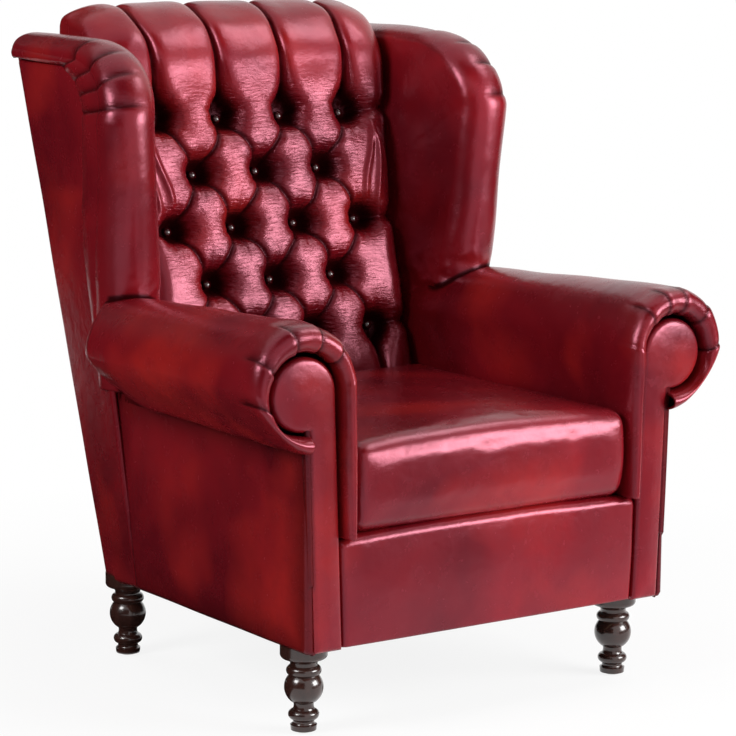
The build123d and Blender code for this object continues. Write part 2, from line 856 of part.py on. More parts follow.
arm_front_section = arm_section(
    cross_plane(arm_pad_front_y), arm_roll_half_width, arm_roll_z, arm_roll_rise,
    seam_z, arm_outer_frame_x, body_half_width,
)
arm_rear_section = arm_section(
    cross_plane(arm_pad_rear_y), arm_roll_rear_half_width, arm_roll_z - arm_roll_rear_drop,
    arm_roll_rear_rise, seam_z, arm_outer_frame_x - rail_thickness, body_half_width,
)
with BuildPart() as arm_pad_right:
    loft(sections=[arm_front_section, arm_rear_section], ruled=True)
    with BuildSketch(cross_plane(arm_pad_rear_y)):
        add(arm_rear_section)
        with Locations((body_half_width - half_width, arm_roll_z)):
            Rectangle(overall_width, overall_height, mode=Mode.SUBTRACT)
    revolve(
        axis=Axis((body_half_width, arm_pad_rear_y, 0), (0, 0, 1)), revolution_arc=90,
    )
    with BuildSketch(cross_plane(arm_pad_rear_y)):
        add(arm_rear_section)
        with Locations((body_half_width + half_width, arm_roll_z)):
            Rectangle(overall_width, overall_height, mode=Mode.SUBTRACT)
    extrude(amount=-(arm_board_rear_y - arm_pad_rear_y))
    split(bisect_by=back_plane.offset(back_frame_front), keep=Keep.TOP)
    for neighbour in (arm_rail_right, arm_tuck_rail_right, outside_wing_right, scroll_board_right,
                      wing_board_right, rear_post_right, back_webbing, back_block):
        add(neighbour.part, mode=Mode.SUBTRACT)
pieces["arm_pad_right"] = arm_pad_right

with BuildPart() as arm_ring_right:
    with BuildSketch(cross_plane(arm_pad_front_y)):
        add(arm_section(
            Plane.XY, arm_roll_half_width + ring_grow / 2, arm_roll_z, arm_roll_rise + ring_grow,
            seam_z - ring_grow, arm_outer_frame_x, body_half_width,
        ))
        add(keyhole(facing_groove), mode=Mode.SUBTRACT)
    extrude(amount=arm_pad_front_y - front_y)
    ring_front_edges = arm_ring_right.faces().sort_by(Axis.Y)[0].edges()
    ring_arcs = ring_front_edges.filter_by(GeomType.CIRCLE).filter_by(
        lambda edge: edge.radius > disc_radius + facing_groove + ring_edge_radius
    )
    ring_side = ring_front_edges.filter_by(Axis.Z).sort_by(Axis.X)[0]
    fillet([*ring_arcs, ring_side], radius=ring_edge_radius)
pieces["arm_ring_right"] = arm_ring_right

# Wings
def wing_seam(z):
    """Where the outside wing's front seam runs, above the arm: its x and y at a height."""
    share = (z - seam_z) / (outside_top_z - seam_z)
    seam_x = outside_front_x_arm + share * (outside_front_x_top - outside_front_x_arm)
    seam_y_here = outside_front_y_arm + share * (outside_front_y_top - outside_front_y_arm)
    return seam_x, seam_y_here


def room_inside(z, front_x, front_panel_y, rear_x):
    """The room between the middle of the chair and an outside wing, at a height."""
    rear_y_here = frame_depth_y(z, outside_back_thickness)
    with BuildSketch(Plane.XY.offset(z)) as room:
        Polygon(
            (0, front_y),
            (front_x - outside_panel_thickness, front_y),
            (front_x - outside_panel_thickness, front_panel_y),
            (rear_x - outside_panel_thickness, rear_y_here),
            (0, rear_y_here), align=None,
        )
    return room.sketch


def wing_lap(z):
    """The leather that laps from the front roll back to the seam, at a height."""
    seam_x, seam_y_here = wing_seam(z)
    axis_y = wing_axis_y(z)
    with BuildSketch(Plane.XY.offset(z)) as lap:
        Polygon(
            (wing_roll_x, axis_y),
            (wing_roll_x + wing_roll_radius - wing_roll_overlap, axis_y),
            (seam_x, seam_y_here),
            (wing_board_x, seam_y_here), align=None,
        )
    return lap.sketch


slab_top_z = board_top_z + wing_slab_rise
with BuildPart() as wing_pad_right:
    with BuildSketch(roll_start.offset(-wing_corner_radius)):
        slab_inner_x = wing_inner_rear_x - wing_roll_x
        slab_rear = overall_depth
        Polygon(
            (wing_roll_overlap - wing_roll_radius, wing_roll_overlap),
            (slab_inner_x, wing_inner_run),
            (slab_inner_x, slab_rear),
            (outside_rear_x_top - wing_roll_x, slab_rear),
            (wing_roll_radius - 2 * wing_roll_overlap, wing_roll_overlap), align=None,
        )
    extrude(amount=(slab_top_z - wing_foot_z + wing_corner_radius) / cos(radians(wing_lean)))
    with BuildSketch(Plane.XY.offset(wing_foot_z - wing_corner_radius)):
        Rectangle(overall_width, overall_depth)
    extrude(amount=slab_top_z - wing_foot_z + wing_corner_radius, mode=Mode.INTERSECT)
    add(
        loft(
            sections=[
                room_inside(rail_bottom_z, outside_front_x_bottom,
                            outside_front_y_bottom, outside_rear_x_bottom),
                room_inside(seam_z, outside_front_x_arm,
                            outside_front_y_arm, outside_rear_x_arm),
                room_inside(outside_top_z, outside_front_x_top,
                            outside_front_y_top, outside_rear_x_top),
            ],
            ruled=True, mode=Mode.PRIVATE,
        ),
        mode=Mode.INTERSECT,
    )
    loft(sections=[wing_lap(wing_foot_z), wing_lap(board_top_z)], ruled=True)
    add(wing_roll_form.part)
    split(bisect_by=back_plane.offset(outside_back_thickness), keep=Keep.TOP)
    for neighbour in (arm_pad_right, arm_rail_right, wing_board_right, outside_wing_right,
                      rear_post_right, crest_rail, back_webbing, back_block, frame_dowels):
        add(neighbour.part, mode=Mode.SUBTRACT)
pieces["wing_pad_right"] = wing_pad_right


# Tufting: buttons in staggered rows, with creases from each to the next
def button_row_x(row):
    """Where the buttons of a row stand across the back."""
    count = button_columns - row % 2
    return [button_pitch_x * (column - (count - 1) / 2) for column in range(count)]


def up_crown(z):
    """Distance up the crown plane from the top row of buttons to a height."""
    return (z - button_top_z) / cos(lean)


row_rise = button_pitch_z / cos(lean)
button_places = [(x, -row * row_rise) for row in range(button_rows) for x in button_row_x(row)]
last_row_v = -(button_rows - 1) * row_rise


def groove_section(half_width, depth):
    """A crease's section, where two pillows of leather roll down to meet."""
    top = groove_lift + overrun
    with BuildSketch() as section:
        with BuildLine():
            radius = (half_width**2 + depth**2) / (2 * depth)
            mid_x = radius * sin(asin(half_width / radius) / 2)
            for side in (-1, 1):
                ThreePointArc(
                    (side * half_width, groove_lift),
                    (side * (half_width - mid_x), groove_lift - radius + sqrt(radius**2 - mid_x**2)),
                    (0, groove_lift - depth),
                )
                Line((side * half_width, groove_lift), (side * half_width, top))
            Line((-half_width, top), (half_width, top))
        make_face()
    return section.sketch


def straight_groove(start, end, half_width, depth):
    """A crease between two places on the crown plane."""
    first = crown_plane.from_local_coords(Vector(*start))
    last = crown_plane.from_local_coords(Vector(*end))
    run = last - first
    across = crown_plane.z_dir.cross(run).normalized()
    with BuildPart() as groove:
        with BuildSketch(Plane(origin=first, x_dir=across, z_dir=run.normalized())):
            add(groove_section(half_width, depth))
        extrude(amount=run.length)
    return groove.part


def diagonal_grooves(direction):
    """The creases that run down the back to one side, each through its buttons."""
    grooves = []
    for first_x in range(-button_columns - 1, button_columns + 1, 2):
        crossed = [
            (direction * (first_x + row) * button_pitch_x / 2, -row * row_rise)
            for row in range(button_rows)
        ]
        crossed = [
            place for place in crossed
            if abs(place[0]) <= button_row_x(0)[-1] + joint_gap
        ]
        if len(crossed) > 1:
            grooves.append(straight_groove(crossed[0], crossed[-1], groove_half_width, groove_depth))
    return grooves


def flutes_across():
    """The sections of the creases between the flutes, side by side."""
    with BuildSketch() as comb:
        with Locations(*[(x, 0) for x in button_row_x(0)]):
            add(groove_section(flute_half_width, flute_depth))
    return comb.sketch


def flute_plane(y, z, tilt):
    """A plane across the flutes at a place on their path over the top."""
    return Plane(origin=(0, y, z), x_dir=(-1, 0, 0), z_dir=(0, sin(tilt), cos(tilt)))


# The creases between the flutes: up from the top buttons, over the roll, down behind
with BuildPart() as flute_grooves:
    with BuildSketch(flute_plane(crown_y(button_top_z), button_top_z, lean)):
        add(flutes_across())
    extrude(amount=up_crown(back_roll_start_z))
    with BuildSketch(flute_plane(back_roll_start_y, back_roll_start_z, lean)):
        add(flutes_across())
    revolve(
        axis=Axis((0, back_roll_top_y, overall_height - back_roll_radius), (-1, 0, 0)),
        revolution_arc=degrees(pi / 2 - lean),
    )
    with BuildSketch(flute_plane(back_roll_top_y, overall_height, pi / 2)):
        add(flutes_across())
    revolve(
        axis=Axis((0, back_roll_top_y, overall_height - back_roll_rear_radius), (-1, 0, 0)),
        revolution_arc=degrees(pi / 2),
    )
    with BuildSketch(flute_plane(rear_y, overall_height - back_roll_rear_radius, pi)):
        add(flutes_across())
    extrude(amount=back_roll_rear_radius + overrun)

pleat_grooves = [
    straight_groove(
        (side * button_row_x(row)[-1], -row * row_rise),
        (side * (back_top_half_width + overrun), -row * row_rise),
        side_pleat_half_width, side_pleat_depth,
    )
    for row in range(0, button_rows, 2)
    for side in (-1, 1)
]
seat_grooves = [
    straight_groove(
        (x, last_row_v), (x, up_crown(pad_bottom_z - overrun)), flute_half_width, flute_depth,
    )
    for x in button_row_x(0)
]

with BuildPart() as back_pad:
    add(back_block.part)
    add(diagonal_grooves(1), mode=Mode.SUBTRACT)
    add(diagonal_grooves(-1), mode=Mode.SUBTRACT)
    add(flute_grooves.part, mode=Mode.SUBTRACT)
    add(seat_grooves, mode=Mode.SUBTRACT)
    add(pleat_grooves, mode=Mode.SUBTRACT)
    with BuildSketch(crown_plane.offset(-pit_depth)):
        with Locations(*button_places):
            Circle(button_radius + soft_gap)
    extrude(amount=pit_depth + overrun, mode=Mode.SUBTRACT)
    for neighbour in (outside_back, crest_rail, back_webbing, rear_post_left, rear_post_right):
        add(neighbour.part, mode=Mode.SUBTRACT)
pieces["back_pad"] = back_pad

with BuildPart() as back_buttons:
    with BuildSketch(crown_plane.offset(soft_gap - pit_depth)):
        with Locations(*button_places):
            Circle(button_radius)
    extrude(amount=button_height)
    fillet(
        back_buttons.edges().filter_by(GeomType.CIRCLE).filter_by(
            lambda edge: crown_plane.to_local_coords(edge.center()).Z
            > soft_gap - pit_depth + button_height / 2
        ),
        radius=button_dome,
    )
pieces["back_buttons"] = back_buttons


# Seat cushion, loose on the deck
def cushion_form(inset):
    """The cushion's crowned form with its sides drawn in, pared down all round by an inset."""
    low_z = pad_bottom_z + inset
    edge_z = pad_bottom_z + cushion_height - inset
    middle_z = (low_z + edge_z) / 2
    crown_z = edge_z + cushion_crown
    front = facing_y - cushion_overhang + cushion_front_bulge + inset
    rear_edge_y = crown_y(edge_z) - soft_gap - inset
    rear_low_y = crown_y(low_z) - soft_gap - inset
    half = seat_half_width - inset
    radius = cushion_top_radius
    with BuildPart() as form:
        with BuildSketch(Plane.YZ):
            with BuildLine():
                Line((front + cushion_draw_in, low_z), (rear_low_y, low_z))
                Line((rear_low_y, low_z), (rear_edge_y, edge_z))
                ThreePointArc(
                    (rear_edge_y, edge_z),
                    ((rear_edge_y + front + radius) / 2, crown_z),
                    (front + radius, edge_z),
                )
                TangentArc((front, edge_z - radius), (front + radius, edge_z), tangent=(0, 1))
                ThreePointArc(
                    (front, edge_z - radius),
                    (front - cushion_front_bulge, middle_z),
                    (front + cushion_draw_in, low_z),
                )
            make_face()
        extrude(amount=half_width, both=True)
        with BuildSketch(cross_plane(0)):
            with BuildLine():
                Line((-half + cushion_draw_in, low_z), (half - cushion_draw_in, low_z))
                for side in (-1, 1):
                    ThreePointArc(
                        (side * (half - cushion_draw_in), low_z),
                        (side * half, middle_z),
                        (side * (half - cushion_draw_in / 2), edge_z - radius),
                    )
                    TangentArc(
                        (side * (half - cushion_draw_in / 2), edge_z - radius),
                        (side * (half - cushion_draw_in / 2 - radius), edge_z),
                        tangent=(0, 1),
                    )
                ThreePointArc(
                    (-half + cushion_draw_in / 2 + radius, edge_z),
                    (0, edge_z + cushion_crown_across),
                    (half - cushion_draw_in / 2 - radius, edge_z),
                )
            make_face()
        extrude(amount=overall_depth, both=True, mode=Mode.INTERSECT)
        with BuildSketch(Plane.XY) as plan:
            with Locations((0, front - cushion_front_bulge + overall_depth / 2)):
                Rectangle(2 * half, overall_depth)
            fillet(plan.vertices().group_by(Axis.Y)[0], radius=cushion_corner_radius)
        extrude(amount=overall_height, mode=Mode.INTERSECT)
    return form


cushion_outside = cushion_form(0)
seat_cushion_core = cushion_form(cover_leather)
zip_z = pad_bottom_z + cushion_height / 2
zip_y = crown_y(zip_z)
with BuildPart() as zip_room:
    with BuildSketch(cross_plane(zip_y + overrun)):
        with Locations((0, zip_z)):
            Rectangle(2 * seat_half_width * zip_length_share, zip_width)
    extrude(amount=2 * overrun)

with BuildPart() as seat_cushion_cover:
    add(cushion_outside.part)
    add(seat_cushion_core.part, mode=Mode.SUBTRACT)
    add(zip_room.part, mode=Mode.SUBTRACT)

with BuildPart() as cushion_zip:
    add(cushion_outside.part)
    add(seat_cushion_core.part, mode=Mode.SUBTRACT)
    add(zip_room.part, mode=Mode.INTERSECT)

pieces["seat_cushion_cover"] = seat_cushion_cover
pieces["seat_cushion_core"] = seat_cushion_core
pieces["cushion_zip"] = cushion_zip

# Zigzag springs from the front rail to the rear rail, and their clips
spring_front_y = rail_front_y + rail_thickness / 2
spring_rear_y = frame_depth_y(rail_top_z, outside_back_thickness + rail_thickness / 2)
spring_pitch = (spring_rear_y - spring_front_y) / spring_half_loops
spring_straight = spring_width - spring_pitch
spring_xs = [
    spring_pitch_across * (index - (spring_count - 1) / 2) for index in range(spring_count)
]
wire_z = rail_top_z + spring_seat_height - spring_wire / 2


def zigzag_spring(x):
    """One spring: straight runs across it, joined by half turns."""
    with BuildPart() as spring:
        with BuildLine() as wire:
            for row in range(spring_half_loops + 1):
                side = 1 if row % 2 == 0 else -1
                row_y = spring_front_y + row * spring_pitch
                end_x = x + side * spring_straight / 2
                Line((x - side * spring_straight / 2, row_y, wire_z), (end_x, row_y, wire_z))
                if row < spring_half_loops:
                    ThreePointArc(
                        (end_x, row_y, wire_z),
                        (end_x + side * spring_pitch / 2, row_y + spring_pitch / 2, wire_z),
                        (end_x, row_y + spring_pitch, wire_z),
                    )
        wire_start = (x - spring_straight / 2, spring_front_y, wire_z)
        with BuildSketch(Plane(origin=wire_start, x_dir=(0, 1, 0), z_dir=(1, 0, 0))):
            Circle(spring_wire / 2)
        sweep(path=wire.wires()[0])
    return spring


with BuildPart() as seat_springs:
    for spring_x in spring_xs:
        add(zigzag_spring(spring_x).part)
pieces["seat_springs"] = seat_springs

with BuildPart() as spring_clips:
    with BuildSketch(Plane.XY.offset(rail_top_z)):
        with Locations(*[(x, y) for x in spring_xs for y in (spring_front_y, spring_rear_y)]):
            Rectangle(clip_width, clip_length)
    extrude(amount=wire_z - rail_top_z)
    add(seat_springs.part, mode=Mode.SUBTRACT)
pieces["spring_clips"] = spring_clips

# The deck under the cushion, and the cloth under the chair
with BuildPart() as seat_deck:
    with BuildSketch(Plane.XY.offset(deck_bottom_z)):
        deck_rear_y = frame_depth_y(deck_bottom_z, back_frame_front) - soft_gap
        deck_front_x = side_inner_x(rail_front_y) - soft_gap
        deck_rear_x = side_inner_x(deck_rear_y) - soft_gap
        Polygon(
            (-deck_front_x, rail_front_y), (deck_front_x, rail_front_y),
            (deck_rear_x, deck_rear_y), (-deck_rear_x, deck_rear_y), align=None,
        )
    extrude(amount=deck_thickness)
pieces["seat_deck"] = seat_deck

with BuildPart() as dust_cover:
    with BuildSketch(Plane.XY.offset(foot_height)):
        cover_edge = rail_thickness / 2
        cover_front_y = rail_front_y + cover_edge
        cover_rear_y = side_rail_rear_y - cover_edge
        Polygon(
            (-side_inner_x(cover_front_y) - cover_edge, cover_front_y),
            (side_inner_x(cover_front_y) + cover_edge, cover_front_y),
            (side_inner_x(cover_rear_y) + cover_edge, cover_rear_y),
            (-side_inner_x(cover_rear_y) - cover_edge, cover_rear_y), align=None,
        )
        with Locations(*foot_centres):
            Circle(foot_radius + soft_gap, mode=Mode.SUBTRACT)
    extrude(amount=cover_thickness)
pieces["dust_cover"] = dust_cover

# The left-hand twins of the right-hand pieces
for right_name in [name for name in pieces if name.endswith("_right") and "foot" not in name]:
    left_name = right_name.replace("_right", "_left")
    if left_name not in pieces:
        with BuildPart() as left_piece:
            mirror(pieces[right_name].part, about=Plane.YZ)
        pieces[left_name] = left_piece

os.makedirs("parts", exist_ok=True)
for name, piece in pieces.items():
    piece.part.label = name
    export_step(piece.part, f"parts/{name}.step")
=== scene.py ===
from math import cos, pi, radians, sin, sqrt, tan

import bmesh
import bpy
import numpy as np
from mathutils import Matrix, Vector
from mathutils.geometry import delaunay_2d_cdt


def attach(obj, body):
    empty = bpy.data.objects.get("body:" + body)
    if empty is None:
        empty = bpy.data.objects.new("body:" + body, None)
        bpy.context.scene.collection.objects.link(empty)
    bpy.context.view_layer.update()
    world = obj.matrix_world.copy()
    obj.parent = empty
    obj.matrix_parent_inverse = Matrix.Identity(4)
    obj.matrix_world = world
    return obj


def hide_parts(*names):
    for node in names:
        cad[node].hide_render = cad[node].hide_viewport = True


# A tufted leather wingback armchair. Metres; +Z is up and the chair faces -Y.
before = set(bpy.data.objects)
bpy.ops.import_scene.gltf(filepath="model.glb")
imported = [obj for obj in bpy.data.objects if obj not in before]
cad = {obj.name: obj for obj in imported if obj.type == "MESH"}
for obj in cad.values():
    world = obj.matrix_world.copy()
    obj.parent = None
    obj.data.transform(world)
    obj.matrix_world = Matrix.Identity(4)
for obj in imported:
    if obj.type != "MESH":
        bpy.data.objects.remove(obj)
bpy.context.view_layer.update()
scene = bpy.context.scene
sides = (("left", -1), ("right", 1))

# Studio: a white floor under a white room, with soft panels of light round the chair.
# The camera stands to the left of the chair's front, a little above its seat.
camera_data = bpy.data.cameras.new("camera")
camera_data.lens, camera_data.sensor_width = 146.76, 36
camera = bpy.data.objects.new("camera", camera_data)
scene.collection.objects.link(camera)
scene.camera = camera
camera_place = (-2.8118, -4.1261, 1.3408)
pan, tilt, roll = radians(34.758), radians(9.595), radians(0.384)
level = Vector((cos(pan), -sin(pan), 0))
ahead = Vector((sin(pan) * cos(tilt), cos(pan) * cos(tilt), -sin(tilt)))
upward = level.cross(ahead)
camera_right = cos(roll) * level + sin(roll) * upward
camera_up = cos(roll) * upward - sin(roll) * level
camera_turn = Matrix((camera_right, camera_up, -ahead)).transposed()
camera.matrix_world = Matrix.Translation(camera_place) @ camera_turn.to_4x4()
scene.view_settings.view_transform = "Standard"


def aim_at(thing, place, aim):
    """Stands a lamp or a cloth at a place and turns it towards a point."""
    thing.location = place
    thing.rotation_euler = (Vector(aim) - Vector(place)).to_track_quat("-Z", "Y").to_euler()


back_middle = (0, 0.2, 0.7)
for name, place, aim, width, height, power in (
    ("key_front_right", (2.2, -2.58, 1.40), back_middle, 2.3, 1.3, 152),
    ("fill_left", (-3.3, -0.2, 2.2), (-0.3, 0, 0.5), 1.2, 1.4, 84),
    ("edge_overhead", (1.5, -0.6, 3.1), (0, -0.2, 0.5), 1.3, 0.9, 22),
    ("rim_rear_left", (-0.9, 2.7, 2.7), (-0.2, 0, 0.7), 1.6, 0.7, 20),
):
    lamp = bpy.data.lights.new(name, "AREA")
    lamp.shape = "RECTANGLE"
    lamp.size, lamp.size_y, lamp.energy = width, height, power
    holder = bpy.data.objects.new(name, lamp)
    aim_at(holder, place, aim)
    scene.collection.objects.link(holder)


class Signal:
    """A socket's value in a material, so that shader maths reads as plain expressions."""

    def __init__(self, finish, socket):
        self.finish, self.socket = finish, socket

    def __add__(self, other):
        return self.finish.node("Math", {0: self, 1: other}, operation="ADD")

    def __mul__(self, other):
        return self.finish.node("Math", {0: self, 1: other}, operation="MULTIPLY")

    __radd__, __rmul__ = __add__, __mul__


class Finish:
    """A material in the making: one method adds any node and returns one of its outputs."""

    def __init__(self, name, owner=None):
        self.material = owner or bpy.data.materials.new(name)
        self.material.use_nodes = True
        self.tree = self.material.node_tree
        self.tree.nodes.clear()

    def node(self, kind, inputs=(), output=0, **settings):
        made = self.tree.nodes.new("ShaderNode" + kind)
        for key, value in settings.items():
            setattr(made, key, value)
        for key, value in dict(inputs).items():
            socket = made.inputs[key]
            if isinstance(value, Signal):
                self.tree.links.new(value.socket, socket)
            else:
                socket.default_value = value
        if made.outputs:
            return Signal(self, made.outputs[output])

    def end(self, surface, output="OutputMaterial"):
        """Ends the material with a surface and returns it."""
        self.node(output, {"Surface": surface})
        return self.material

    def cover(self, **inputs):
        """Ends the material with a principled surface and returns it."""
        named = {key.replace("_", " "): value for key, value in inputs.items()}
        return self.end(self.node("BsdfPrincipled", named))

    def place(self):
        """Where a point is on the chair, at rest."""
        return self.node("TexCoord", output="Object")

    def stretched(self, x, y, z):
        """The place drawn out differently along each axis."""
        return self.node("VectorMath", {0: self.place(), 1: (x, y, z)}, operation="MULTIPLY")

    def clouds(self, scale, detail=3, roughness=0.5, place=None, distortion=0):
        """Uneven patches, from 0 to 1, of about one over the scale in size."""
        return self.node("TexNoise", {
            "Vector": place or self.place(), "Scale": scale, "Detail": detail,
            "Roughness": roughness, "Distortion": distortion,
        }, output="Fac")

    def cells(self, scale):
        """Small cells like pebbled grain or foam, dark in their middles."""
        return self.node("TexVoronoi", {"Vector": self.place(), "Scale": scale})

    def level(self, value, low, high):
        """A value stretched so that low becomes 0 and high becomes 1."""
        return self.node("MapRange", {"Value": value, "From Min": low, "From Max": high})

    def blend(self, share, first, second):
        """One colour turning into another."""
        return self.node("Mix", {0: share, 6: first, 7: second}, output=2, data_type="RGBA")

    def bump(self, height, distance, **normal):
        """A normal with a relief added, over a normal that already has some if it is given."""
        return self.node("Bump", {"Height": height, "Distance": distance, **normal})

    def seen(self):
        """1 for a ray from the camera, off a gloss or through glass, and 0 for any other."""
        camera_ray, glossy_ray, through_ray = (
            self.node("LightPath", output=f"Is {kind} Ray")
            for kind in ("Camera", "Glossy", "Transmission")
        )
        return camera_ray + glossy_ray + through_ray


def dress(piece, finish_material):
    """Gives a piece one material all over."""
    piece.data.materials.clear()
    piece.data.materials.append(finish_material)


def flat_sheet(name, width, height):
    """A flat rectangle of the studio, round the origin."""
    mesh = bpy.data.meshes.new(name)
    corners = ((-1, -1), (1, -1), (1, 1), (-1, 1))
    mesh.from_pydata([(x * width / 2, y * height / 2, 0) for x, y in corners], [], [(0, 1, 2, 3)])
    sheet = bpy.data.objects.new(name, mesh)
    scene.collection.objects.link(sheet)
    return sheet


flag_finish = Finish("black_cloth_flag")
flag_material = flag_finish.end(flag_finish.node("BsdfDiffuse", {"Color": (0.01, 0.01, 0.01, 1)}))
for name, place, aim, width, height in (
    ("flag_rear_left", (-1.5, 1.35, 1.2), (0, 0, 0.9), 2.2, 2.4),
    ("flag_left", (-2.9, 0.1, 0.8), (0, 0, 0.7), 2.6, 1.6),
    ("flag_rear", (-0.9, 2.2, 1.5), (-0.2, 0, 0.7), 3.2, 3.0),
    ("flag_rear_low", (-1.3, 1.0, 0.005), (-1.3, 1.0, 1), 2.6, 2.6),
    ("flag_front_right", (1.7, -2.5, 0.25), (0, 0, 0.4), 2.8, 0.5),
    ("flag_front_low", (0.95, -1.75, 0.005), (0.95, -1.75, 1), 1.5, 0.9),
    ("flag_right", (2.3, -0.7, 1.0), (0, 0, 0.6), 2.2, 2.0),
    ("flag_front_left", (-2.6, -2.2, 1.1), (0, 0, 0.7), 2.6, 2.2),
    ("flag_overhead", (-0.4, -1.3, 3.2), (0, 0, 0.7), 2.6, 1.6),
):
    flag = flat_sheet(name, width, height)
    aim_at(flag, place, aim)
    flag.visible_camera = flag.visible_shadow = flag.visible_diffuse = False
    dress(flag, flag_material)

scene.world = bpy.data.worlds.new("white_room")
room = Finish("white_room", scene.world)
room_light = room.node("Background", {"Strength": 0.2})
room_white = room.node("Background", {"Color": (1, 1, 1, 1)})
room.end(room.node("MixShader", {0: room.seen(), 1: room_light, 2: room_white}), "OutputWorld")

floor_finish = Finish("white_floor")
floor_away = floor_finish.node(
    "VectorMath", {0: floor_finish.place()}, output="Value", operation="LENGTH",
)
floor_far = floor_finish.level(floor_away, 0.5, 1.5)
floor_material = floor_finish.end(floor_finish.node("MixShader", {
    0: floor_finish.seen() * (0.87 + floor_far * 0.13),
    1: floor_finish.node("BsdfDiffuse", {"Color": (0.86, 0.86, 0.86, 1)}),
    2: floor_finish.node("Emission", {"Color": (1, 1, 1, 1), "Strength": 1}),
}))
dress(flat_sheet("floor", 24, 24), floor_material)

# Feet: four turned feet of beech, stained nearly black and lacquered to a high gloss.
# Each is screwed into the seat frame and stands on a nailed steel glide.
foot_finish = Finish("dark_lacquered_wood")
foot_grain = foot_finish.clouds(9, detail=5, place=foot_finish.stretched(14, 14, 1.2))
foot_bare = foot_finish.clouds(26, detail=2)
foot_material = foot_finish.cover(
    Base_Color=foot_finish.blend(foot_grain, (0.010, 0.0035, 0.003, 1), (0.052, 0.017, 0.012, 1)),
    Roughness=0.16 + foot_bare * 0.14,
    Coat_Weight=0.6,
    Coat_Roughness=0.06,
    Normal=foot_finish.bump(foot_grain, 0.0004),
)
for end in ("front", "rear"):
    for side, _ in sides:
        foot = cad[f"foot_{end}_{side}"]
        dress(foot, foot_material)
        foot.data.shade_smooth()

steel_finish = Finish("plated_steel")
steel_cloud = steel_finish.clouds(300, detail=2)
steel_material = steel_finish.cover(
    Base_Color=steel_finish.blend(steel_cloud, (0.42, 0.42, 0.40, 1), (0.62, 0.62, 0.60, 1)),
    Metallic=1.0,
    Roughness=0.28 + steel_cloud * 0.2,
)
for name in ("foot_glides", "foot_bolts", "foot_inserts", "seat_springs", "spring_clips"):
    dress(cad[name], steel_material)

# Frame: beech rails, posts and boards, planed and glued, all hidden by the leather.
# Straight grain runs along each piece, with short dark flecks.
beech_finish = Finish("planed_beech")
beech_grain = beech_finish.clouds(20, detail=6, place=beech_finish.stretched(1, 6, 9))
beech_fleck = beech_finish.clouds(160, detail=2, place=beech_finish.stretched(1, 3, 0.4))
beech_colour = beech_finish.blend(beech_grain, (0.42, 0.25, 0.13, 1), (0.63, 0.43, 0.26, 1))
beech_material = beech_finish.cover(
    Base_Color=beech_finish.blend(
        beech_finish.level(beech_fleck, 0.62, 0.7), beech_colour, (0.30, 0.16, 0.08, 1),
    ),
    Roughness=0.55 + beech_grain * 0.15,
    Normal=beech_finish.bump(beech_grain, 0.0003),
)
beech_starts = (
    "arm_post", "arm_rail", "arm_tuck_rail", "back_tuck_rail", "corner_blocks", "crest_rail",
    "frame_dowels", "rear_post", "scroll_board", "seat_rail", "wing_board",
)
for name, node in cad.items():
    if name.startswith(beech_starts):
        dress(node, beech_material)

# Under the leather: webbing, the seat deck and the dust cover are woven or felted cloth.
# The cushion's core is foam and its zip has a dark tape.
for name, title, dark, light, threads in (
    ("back_webbing", "webbing", (0.22, 0.16, 0.09, 1), (0.42, 0.33, 0.2, 1), 120),
    ("seat_deck", "deck_cloth", (0.012, 0.006, 0.005, 1), (0.03, 0.014, 0.012, 1), 160),
    ("dust_cover", "black_cloth", (0.004, 0.004, 0.004, 1), (0.012, 0.012, 0.012, 1), 200),
    ("cushion_zip", "zip_tape", (0.01, 0.004, 0.004, 1), (0.05, 0.02, 0.02, 1), 400),
):
    cloth = Finish(title)
    waves = {"Vector": cloth.place(), "Scale": threads}
    over = cloth.node("TexWave", waves, output="Fac")
    under = cloth.node("TexWave", waves, output="Fac", bands_direction="Y")
    weave = over * 0.5 + under * 0.5
    dress(cad[name], cloth.cover(
        Base_Color=cloth.blend(weave, dark, light),
        Roughness=0.9,
        Normal=cloth.bump(weave, 0.0004),
    ))
foam_finish = Finish("foam")
foam_cells = foam_finish.cells(500)
dress(cad["seat_cushion_core"], foam_finish.cover(
    Base_Color=foam_finish.blend(foam_cells, (0.55, 0.48, 0.3, 1), (0.78, 0.72, 0.52, 1)),
    Roughness=0.95,
    Normal=foam_finish.bump(foam_cells, 0.0005),
))

# Leather: oxblood hide, rubbed so that wine-dark patches and orange-red ones show,
# with a fine pebbled grain under a glossy top coat. It covers every piece below.
hide = Finish("oxblood_leather")
hide_patches = hide.clouds(3.1, detail=3, roughness=0.55, distortion=0.6)
hide_glow = hide.clouds(4.3, detail=2, roughness=0.5, distortion=0.4)
hide_mottle = hide.clouds(38, detail=4, roughness=0.6)
# Painted shade: a per-point mark on each piece darkens the leather's colour in its tufts, creases,
# pleats, seams and gaps.
hide_creases = hide.node("Attribute", attribute_name="crease", output="Fac")
hide_puckers = hide.node("Attribute", attribute_name="pucker", output="Fac")
hide_red = (0.085, 0.0018, 0.0048, 1)
for share, colour in (
    (hide.level(hide_patches, 0.36, 0.66), (0.205, 0.0052, 0.0092, 1)),
    (hide.level(hide_glow, 0.52, 0.78), (0.30, 0.0115, 0.009, 1)),
    (hide.level(hide_mottle, 0.35, 0.75) * 0.35, (0.12, 0.0025, 0.0058, 1)),
    # The painted shade's dark colour.
    (hide_creases, (0.028, 0.0015, 0.002, 1)),
):
    hide_red = hide.blend(share, hide_red, colour)
hide_pull = hide.clouds(
    150, detail=3, roughness=0.6, place=hide.stretched(0.35, 0.35, 1.5), distortion=0.5,
)
hide_relief = hide.bump(hide.cells(620), 0.0001)
hide_relief = hide.bump(hide.clouds(34, detail=3, roughness=0.5), 0.0011, Normal=hide_relief)
hide_relief = hide.bump(hide_pull * hide_puckers, 0.0045, Normal=hide_relief)
